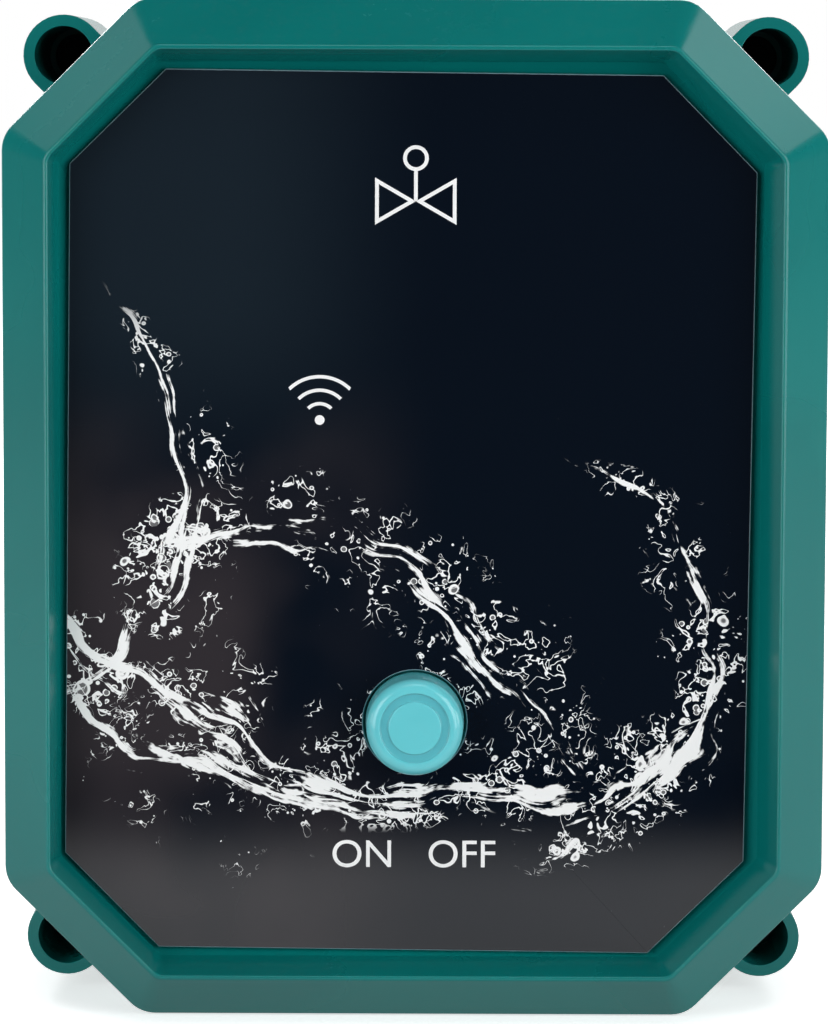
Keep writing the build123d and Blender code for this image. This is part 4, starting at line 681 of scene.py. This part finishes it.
# Painted reflections: a cloudy brown tint low on the left of the face and a blue tint high on the left
clouds = wire(ink_tree, "ShaderNodeTexNoise", {"Vector": ink_place, "Scale": 24.0, "Detail": 3.0})
reflections_leftward = eased(ink_tree, place_on_face["X"], *REFLECTIONS_LEFT)
low = eased(ink_tree, place_on_face["Z"], *REFLECTION_BROWN_BELOW)
brown_reflection = reckon(ink_tree, "MULTIPLY", reflections_leftward, eased(ink_tree, clouds.outputs["Fac"], *REFLECTION_BROWN_BROKEN))
brown_reflection = reckon(ink_tree, "MULTIPLY", brown_reflection, low)
blue_reflection = reckon(ink_tree, "MULTIPLY", reflections_leftward, eased(ink_tree, place_on_face["Z"], *REFLECTION_BLUE_ABOVE))
dark = shade(ink_tree, FASCIA_BLACK, FASCIA_REFLECTION_BROWN, brown_reflection)
dark = shade(ink_tree, dark, FASCIA_REFLECTION_BLUE, blue_reflection)
# Sides and bevels that do not face forward take the pale cut colour, partly a painted highlight
dark = shade(ink_tree, FASCIA_CUT_AND_HIGHLIGHT, dark, face_only)
ink_tree.links.new(shade(ink_tree, dark, INK_WHITE, printed), ink_shader.inputs["Base Color"])
smears = wire(ink_tree, "ShaderNodeTexNoise", {"Vector": ink_place, "Scale": 60.0, "Detail": 5.0})
ink_tree.links.new(
    reckon(ink_tree, "MULTIPLY_ADD", smears.outputs["Fac"], SMEAR_ROUGHENS, FASCIA_ROUGHNESS),
    ink_shader.inputs["Roughness"],
)
ripple = wire(ink_tree, "ShaderNodeTexNoise", {"Vector": ink_place, "Scale": 120.0, "Detail": 1.0})
ink_relief = wire(
    ink_tree,
    "ShaderNodeBump",
    {"Strength": RIPPLE_STRENGTH, "Distance": RIPPLE_DEPTH, "Height": ripple.outputs["Fac"]},
)
ink_tree.links.new(ink_relief.outputs["Normal"], ink_shader.inputs["Normal"])

# Print on the fascia: a signal mark over the light window, a valve sign at the top and the
# switch words under the button, all in a film of white ink.
INK_FILM = 0.00003
PRINT_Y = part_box("fascia")[0].y
SIGNAL_X = -0.0127
SIGNAL_Z = 0.0124
SIGNAL_RADII = (0.0024, 0.0042, 0.0060)
SIGNAL_LINE = 0.00045
SIGNAL_HALF_ANGLE = radians(44)
SIGNAL_DOT = 0.00065
DOT_CORNERS = 32
SIGN_Z = 0.0415
SIGN_TRIANGLE = 0.0036
SIGN_LINE = 0.00050
SIGN_STEM = 0.0040
SIGN_WHEEL = 0.0017
WORDS_Z = -0.0478
WORDS_SIZE = 0.0053
white_ink = moulded(
    "white_ink",
    (0.93, 0.93, 0.93),
    (0.87, 0.88, 0.88),
    (0.9, 0.9, 0.9),
    0.30,
    flow=300.0,
    wear=0.0,
    dirt=0.0,
)


def ink_film(name):
    """Finishes the flat shape in hand as a film of ink on the front of the fascia."""
    film = bpy.context.object
    film.name = name
    bpy.ops.object.transform_apply(location=True, rotation=True, scale=True)
    bpy.ops.object.modifier_add(type="SOLIDIFY")
    film.modifiers[-1].thickness = INK_FILM
    film.modifiers[-1].offset = 0.0
    bpy.ops.object.modifier_apply(modifier=film.modifiers[-1].name)
    film.data.materials.clear()
    film.data.materials.append(white_ink)
    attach(film, "case")


def flat_ring(x, z, radius, line, corners=128, turn=0.0):
    """A flat ring on the fascia's face, an outline where it has few corners, or a full disc
    where its line has no width."""
    bpy.ops.object.select_all(action="DESELECT")
    bpy.ops.mesh.primitive_circle_add(
        vertices=corners,
        radius=radius,
        fill_type="NGON",
        location=(x, PRINT_Y, z),
        rotation=(pi / 2, turn, 0.0),
    )
    bpy.ops.object.transform_apply(location=True, rotation=True, scale=True)
    bpy.ops.object.mode_set(mode="EDIT")
    bpy.ops.mesh.select_all(action="SELECT")
    if line:
        bpy.ops.mesh.inset(thickness=line)
        bpy.ops.mesh.delete(type="FACE")
    bpy.ops.object.mode_set(mode="OBJECT")


for number, radius in enumerate(SIGNAL_RADII):
    flat_ring(SIGNAL_X, SIGNAL_Z, radius, SIGNAL_LINE)
    for side in (-1, 1):
        inward = (-side * cos(SIGNAL_HALF_ANGLE), 0.0, sin(SIGNAL_HALF_ANGLE))
        bpy.ops.object.mode_set(mode="EDIT")
        bpy.ops.mesh.select_all(action="SELECT")
        bpy.ops.mesh.bisect(plane_co=(SIGNAL_X, PRINT_Y, SIGNAL_Z), plane_no=inward, clear_inner=True)
        bpy.ops.object.mode_set(mode="OBJECT")
    ink_film(f"signal_arc_{number + 1}")
flat_ring(SIGNAL_X, SIGNAL_Z, SIGNAL_DOT, 0.0, corners=DOT_CORNERS)
ink_film("signal_dot")

for side in (-1, 1):
    flat_ring(side * SIGN_TRIANGLE, SIGN_Z, SIGN_TRIANGLE, SIGN_LINE, corners=3, turn=-side * pi / 2)
    ink_film(f"valve_sign_half_{(side + 3) // 2}")
flat_ring(0.0, SIGN_Z + SIGN_STEM + SIGN_WHEEL, SIGN_WHEEL, SIGN_LINE)
ink_film("valve_sign_wheel")
bpy.ops.object.select_all(action="DESELECT")
bpy.ops.mesh.primitive_plane_add(
    size=1.0, location=(0.0, PRINT_Y, SIGN_Z + SIGN_STEM / 2), rotation=(pi / 2, 0.0, 0.0)
)
bpy.context.object.scale = (SIGN_LINE, SIGN_STEM, 1.0)
ink_film("valve_sign_stem")

bpy.ops.object.select_all(action="DESELECT")
bpy.ops.object.text_add(location=(0.0, PRINT_Y, WORDS_Z), rotation=(pi / 2, 0.0, 0.0))
words = bpy.context.object
words.data.body = "ON   OFF"
words.data.size = WORDS_SIZE
words.data.align_x = "CENTER"
bpy.ops.object.convert(target="MESH")
ink_film("switch_words")

# Push button: a turquoise cap with a ring let into its face, the ring painted darker as painted
# shade in its recess. It slides in the cover's guide on a return spring, and its flange is sealed
# by a rubber ring.
BUTTON_EDGE = 0.00022
RING_MIDDLE = 0.00408
RING_HALF_WIDTH = 0.00056
RING_SOFTNESS = 0.00004
# The ring's darker tone is painted shade for the ring's recess in the cap's face
RING_SHADE_TONE = (0.110, 0.475, 0.540)
TURQUOISE = (0.140, 0.600, 0.660)
TURQUOISE_DEEP = (0.128, 0.570, 0.630)
TURQUOISE_RUBBED = (0.35, 0.80, 0.82)
LIGHT_INSIDE = 0.15
LIGHT_REACH = (0.001, 0.003, 0.003)
ACROSS_FACE = (1.0, 0.0, 1.0)
turquoise_plastic = moulded(
    "turquoise_plastic", TURQUOISE, TURQUOISE_DEEP, TURQUOISE_RUBBED, 0.17, flow=90.0, wear=0.2, dirt=0.03
)
ring_tree = turquoise_plastic.node_tree
ring_shader = ring_tree.nodes["Principled BSDF"]
ring_shader.inputs["Subsurface Weight"].default_value = LIGHT_INSIDE
ring_shader.inputs["Subsurface Radius"].default_value = LIGHT_REACH
button_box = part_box("button")
button_middle = (button_box[0] + button_box[1]) / 2
ring_place = wire(ring_tree, "ShaderNodeTexCoord").outputs["Object"]
from_middle = wire(
    ring_tree, "ShaderNodeVectorMath", {0: ring_place, 1: button_middle}, operation="SUBTRACT"
).outputs[0]
flat_middle = wire(
    ring_tree, "ShaderNodeVectorMath", {0: from_middle, 1: ACROSS_FACE}, operation="MULTIPLY"
).outputs[0]
from_axis = wire(ring_tree, "ShaderNodeVectorMath", {0: flat_middle}, operation="LENGTH").outputs["Value"]
# Painted shade: the band round the cap's middle is mixed toward the darker ring tone
off_ring = reckon(ring_tree, "ABSOLUTE", reckon(ring_tree, "SUBTRACT", from_axis, RING_MIDDLE))
in_shaded_ring = eased(ring_tree, off_ring, RING_HALF_WIDTH + RING_SOFTNESS, RING_HALF_WIDTH - RING_SOFTNESS)
plain_tone = ring_shader.inputs["Base Color"].links[0].from_socket
ring_tree.links.new(shade(ring_tree, plain_tone, RING_SHADE_TONE, in_shaded_ring), ring_shader.inputs["Base Color"])
rounded_copy("button", "button_cap", BUTTON_EDGE, "push_button", turquoise_plastic)


def dress(names, material):
    """The solids of these nodes keep their shape and take a finish."""
    for name in names:
        for place in nodes[name].material_slots:
            place.material = material


STAIN_PATCHES = (0.42, 0.70)
STAIN_GLOSS = 0.14
MARK_GLOSS = 0.16
MARK_STRENGTH = 0.5
RUB_BRIGHTER = 1.25


def metal(
    name,
    colour,
    dull,
    roughness,
    marks=900.0,
    stretch=(1.0, 1.0, 1.0),
    stain=60.0,
    depth=0.000003,
    wear=0.3,
):
    """Bare or plated metal: tool marks drawn out one way, faint stains and bright rubbed edges."""
    material = bpy.data.materials.new(name)
    material.use_nodes = True
    tree = material.node_tree
    shader = tree.nodes["Principled BSDF"]
    place = wire(tree, "ShaderNodeTexCoord").outputs["Object"]
    drawn = wire(tree, "ShaderNodeMapping", {"Vector": place, "Scale": stretch})
    lines = wire(
        tree,
        "ShaderNodeTexNoise",
        {"Vector": drawn.outputs[0], "Scale": marks, "Detail": 4.0, "Roughness": 0.6},
    )
    stains = wire(
        tree, "ShaderNodeTexNoise", {"Vector": place, "Scale": stain, "Detail": 5.0, "Roughness": 0.6}
    )
    edges = wire(tree, "ShaderNodeGroup", {0: place, "Amount": wear}, node_tree=rub)
    tone = shade(tree, colour, dull, eased(tree, stains.outputs["Fac"], *STAIN_PATCHES))
    tone = shade(tree, tone, [min(1.0, part * RUB_BRIGHTER) for part in colour], edges.outputs["Edge"])
    tree.links.new(tone, shader.inputs["Base Color"])
    shader.inputs["Metallic"].default_value = 1.0
    gloss = reckon(tree, "MULTIPLY_ADD", lines.outputs["Fac"], MARK_GLOSS, roughness - MARK_GLOSS / 2)
    gloss = reckon(tree, "MULTIPLY_ADD", stains.outputs["Fac"], STAIN_GLOSS, gloss)
    tree.links.new(gloss, shader.inputs["Roughness"])
    relief = wire(
        tree,
        "ShaderNodeBump",
        {"Strength": MARK_STRENGTH, "Distance": depth, "Height": lines.outputs["Fac"]},
    )
    tree.links.new(relief.outputs["Normal"], shader.inputs["Normal"])
    return material


black_rubber = moulded(
    "black_rubber",
    (0.020, 0.020, 0.021),
    (0.014, 0.014, 0.015),
    (0.06, 0.06, 0.06),
    0.62,
    grain=1800.0,
    wear=0.2,
)
spring_steel = metal("spring_steel", (0.56, 0.57, 0.58), (0.42, 0.42, 0.43), 0.26)
dress(["button_seal"], black_rubber)

# Return spring: a coil of hard steel wire between the circuit board and the button's flange. In use
# it shortens toward the board as the button goes in; here it is held on the case as it stands.
spring = bpy.data.objects.new("return_spring", nodes["button_spring"].data.copy())
bpy.context.collection.objects.link(spring)
spring.data.materials.clear()
spring.data.materials.append(spring_steel)
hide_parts("button_spring")
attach(spring, "case")
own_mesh(spring)

# Case fastening: a rubber ring lies between cover and case, and four zinc-plated screws sit deep
# in the back of the case.
SCREW_EDGE = 0.00015
zinc_steel = metal("zinc_steel", (0.62, 0.64, 0.66), (0.44, 0.45, 0.46), 0.28, marks=1500.0)
rounded_copy("case_screws", "case_screw_set", SCREW_EDGE, "case", zinc_steel)
dress(["cover_gasket"], black_rubber)

# Ear plugs: soft black rubber, with a thin head that lies on the seat at the bottom of each ear
# and a stem in its screw hole. They are a dark fill put in the screw holes, standing in for the
# shade deep in each ear's bore.
PLUG_HEAD_RADIUS = 0.0031
PLUG_HEAD = 0.0005
PLUG_STEM_RADIUS = 0.00215
PLUG_STEM = 0.0026
PLUG_FACE = -0.03193
PLUG_DISH = 0.0002
PLUG_ROUND = 0.00012
PLUG_CORNERS = 64
PLUG_SMOOTH = 35.0
PLUG_FACING = 0.9
EAR_X = 0.048
EAR_Z = 0.0607
EAR_PLACES = [(x, z) for x in (-EAR_X, EAR_X) for z in (-EAR_Z, EAR_Z)]
# Each plug is a dark fill standing in for the shade at the bottom of an ear's bore
for number, (x, z) in enumerate(EAR_PLACES):
    bpy.ops.object.select_all(action="DESELECT")
    bpy.ops.mesh.primitive_cylinder_add(
        vertices=PLUG_CORNERS,
        radius=PLUG_HEAD_RADIUS,
        depth=PLUG_HEAD,
        location=(x, PLUG_FACE + PLUG_HEAD / 2, z),
        rotation=(pi / 2, 0.0, 0.0),
    )
    plug = bpy.context.object
    plug.name = f"ear_shade_plug_{number + 1}"
    bpy.ops.object.transform_apply(location=True, rotation=True, scale=True)
    bpy.ops.object.mode_set(mode="EDIT")
    bpy.ops.mesh.select_mode(type="FACE")
    stem_step = (1.0, PLUG_HEAD_RADIUS - PLUG_STEM_RADIUS, PLUG_STEM)
    dish_step = (-1.0, PLUG_HEAD_RADIUS / 3, PLUG_DISH)
    for toward, inset, push in (stem_step, dish_step):
        bpy.ops.mesh.select_all(action="DESELECT")
        bpy.ops.object.mode_set(mode="OBJECT")
        for face in plug.data.polygons:
            face.select = face.normal.y * toward > PLUG_FACING
        bpy.ops.object.mode_set(mode="EDIT")
        bpy.ops.mesh.inset(thickness=inset)
        bpy.ops.mesh.extrude_region_move(TRANSFORM_OT_translate={"value": (0.0, push, 0.0)})
    bpy.ops.mesh.select_mode(type="VERT")
    bpy.ops.object.mode_set(mode="OBJECT")
    bpy.ops.object.modifier_add(type="BEVEL")
    plug.modifiers[-1].width = PLUG_ROUND
    plug.modifiers[-1].segments = 2
    bpy.ops.object.modifier_apply(modifier=plug.modifiers[-1].name)
    bpy.ops.object.shade_smooth_by_angle(angle=radians(PLUG_SMOOTH))
    plug.data.materials.append(black_rubber)
    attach(plug, "case")

# Behind the fascia: the sheet of clear tape that holds it in its recess, and a window of milky
# plastic in the cover's floor that spreads the light of the status lights.
clear_tape = moulded("clear_tape", (0.62, 0.62, 0.60), (0.55, 0.55, 0.53), (0.7, 0.7, 0.7), 0.25, wear=0.0)
milky_plastic = moulded("milky_plastic", (0.80, 0.81, 0.80), (0.74, 0.75, 0.74), (0.9, 0.9, 0.9), 0.35)
dress(["fascia_tape"], clear_tape)
dress(["light_window"], milky_plastic)

# Circuit board: a green laminate on two screws a side, with its switch, lights, wireless module
# under a tinned shield, terminal block, capacitor, driver, relay and motor plug.
green_board = moulded(
    "green_board",
    (0.012, 0.135, 0.045),
    (0.008, 0.100, 0.034),
    (0.10, 0.30, 0.16),
    0.30,
    flow=220.0,
    wear=0.3,
)
black_plastic = moulded(
    "black_plastic", (0.018, 0.018, 0.020), (0.012, 0.012, 0.013), (0.07, 0.07, 0.07), 0.42, grain=3200.0
)
white_plastic = moulded("white_plastic", (0.76, 0.75, 0.71), (0.70, 0.69, 0.65), (0.85, 0.84, 0.80), 0.38)
green_plastic = moulded(
    "green_plastic", (0.020, 0.240, 0.080), (0.015, 0.190, 0.060), (0.12, 0.40, 0.20), 0.38
)
tinned_steel = metal(
    "tinned_steel", (0.70, 0.71, 0.72), (0.56, 0.57, 0.58), 0.30, marks=2200.0, stretch=(1.0, 1.0, 0.15)
)
dress(["circuit_board", "wireless_module"], green_board)
dress(["push_switch", "driver_chip", "relay", "position_sensors"], black_plastic)
dress(["switch_plunger", "motor_plug"], white_plastic)
dress(["status_lights"], milky_plastic)
dress(["supply_terminal"], green_plastic)
dress(["module_shield", "capacitor"], tinned_steel)
dress(["board_screws"], zinc_steel)

# Drive: a small motor and its brass gearbox, screwed to a steel plate, turn two nylon gears and
# the stainless stem, with a magnet for the two position sensors.
plate_steel = metal(
    "plate_steel", (0.50, 0.51, 0.52), (0.36, 0.37, 0.38), 0.34, marks=1800.0, stretch=(0.1, 1.0, 1.0)
)
gear_nylon = moulded(
    "gear_nylon", (0.80, 0.78, 0.70), (0.74, 0.72, 0.64), (0.86, 0.85, 0.80), 0.40, flow=120.0
)
stainless = metal(
    "stainless_steel", (0.58, 0.57, 0.56), (0.46, 0.45, 0.44), 0.24, marks=2400.0, stretch=(1.0, 0.1, 1.0)
)
brass = metal(
    "brass",
    (0.72, 0.50, 0.20),
    (0.50, 0.32, 0.12),
    0.30,
    marks=1400.0,
    stretch=(0.12, 1.0, 1.0),
    stain=45.0,
    depth=0.000006,
)
dress(["gear_plate", "motor", "motor_shaft", "idler_pin", "position_magnet"], plate_steel)
dress(["output_gear", "idler_gear"], gear_nylon)
dress(["gearbox", "motor_pinion", "shaft_bush"], brass)
dress(["valve_stem"], stainless)
dress(["plate_screws", "motor_screws", "hub_screw"], zinc_steel)

# Valve: a brass body with a screwed end adapter, both turned and milled from hot pressings. The
# chromed ball turns between two white seats, and rubber seals the stem and the box's back.
VALVE_EDGE = 0.00025
VALVE_SHARP = 28.0
fluoropolymer = moulded(
    "fluoropolymer", (0.84, 0.84, 0.82), (0.79, 0.79, 0.77), (0.90, 0.90, 0.88), 0.36, flow=200.0
)
chrome = metal(
    "ball_chrome", (0.76, 0.77, 0.78), (0.66, 0.67, 0.68), 0.10, marks=3000.0, depth=0.000001, wear=0.0
)
rounded_copy(
    "valve_body", "valve_body_brass", VALVE_EDGE, "case", brass, steps=2, angle=VALVE_SHARP
)
rounded_copy(
    "end_adapter", "end_adapter_brass", VALVE_EDGE, "case", brass, steps=2, angle=VALVE_SHARP
)
dress(["ball"], chrome)
dress(["inlet_seat", "outlet_seat", "thrust_washer", "adapter_gasket"], fluoropolymer)
dress(["pad_gasket", "stem_rings"], black_rubber)
dress(["pad_screws"], zinc_steel)

# Cable gland: a black nylon body screwed through the back of the case with a locknut inside, and
# a domed nut that squeezes a rubber sleeve round the cable.
GLAND_EDGE = 0.0003
rounded_copy("gland_body", "gland_body_nylon", GLAND_EDGE, "case", black_plastic, steps=2)
rounded_copy("gland_nut", "gland_nut_nylon", GLAND_EDGE, "case", black_plastic, steps=2)
dress(["gland_locknut"], black_plastic)
dress(["gland_seal"], black_rubber)
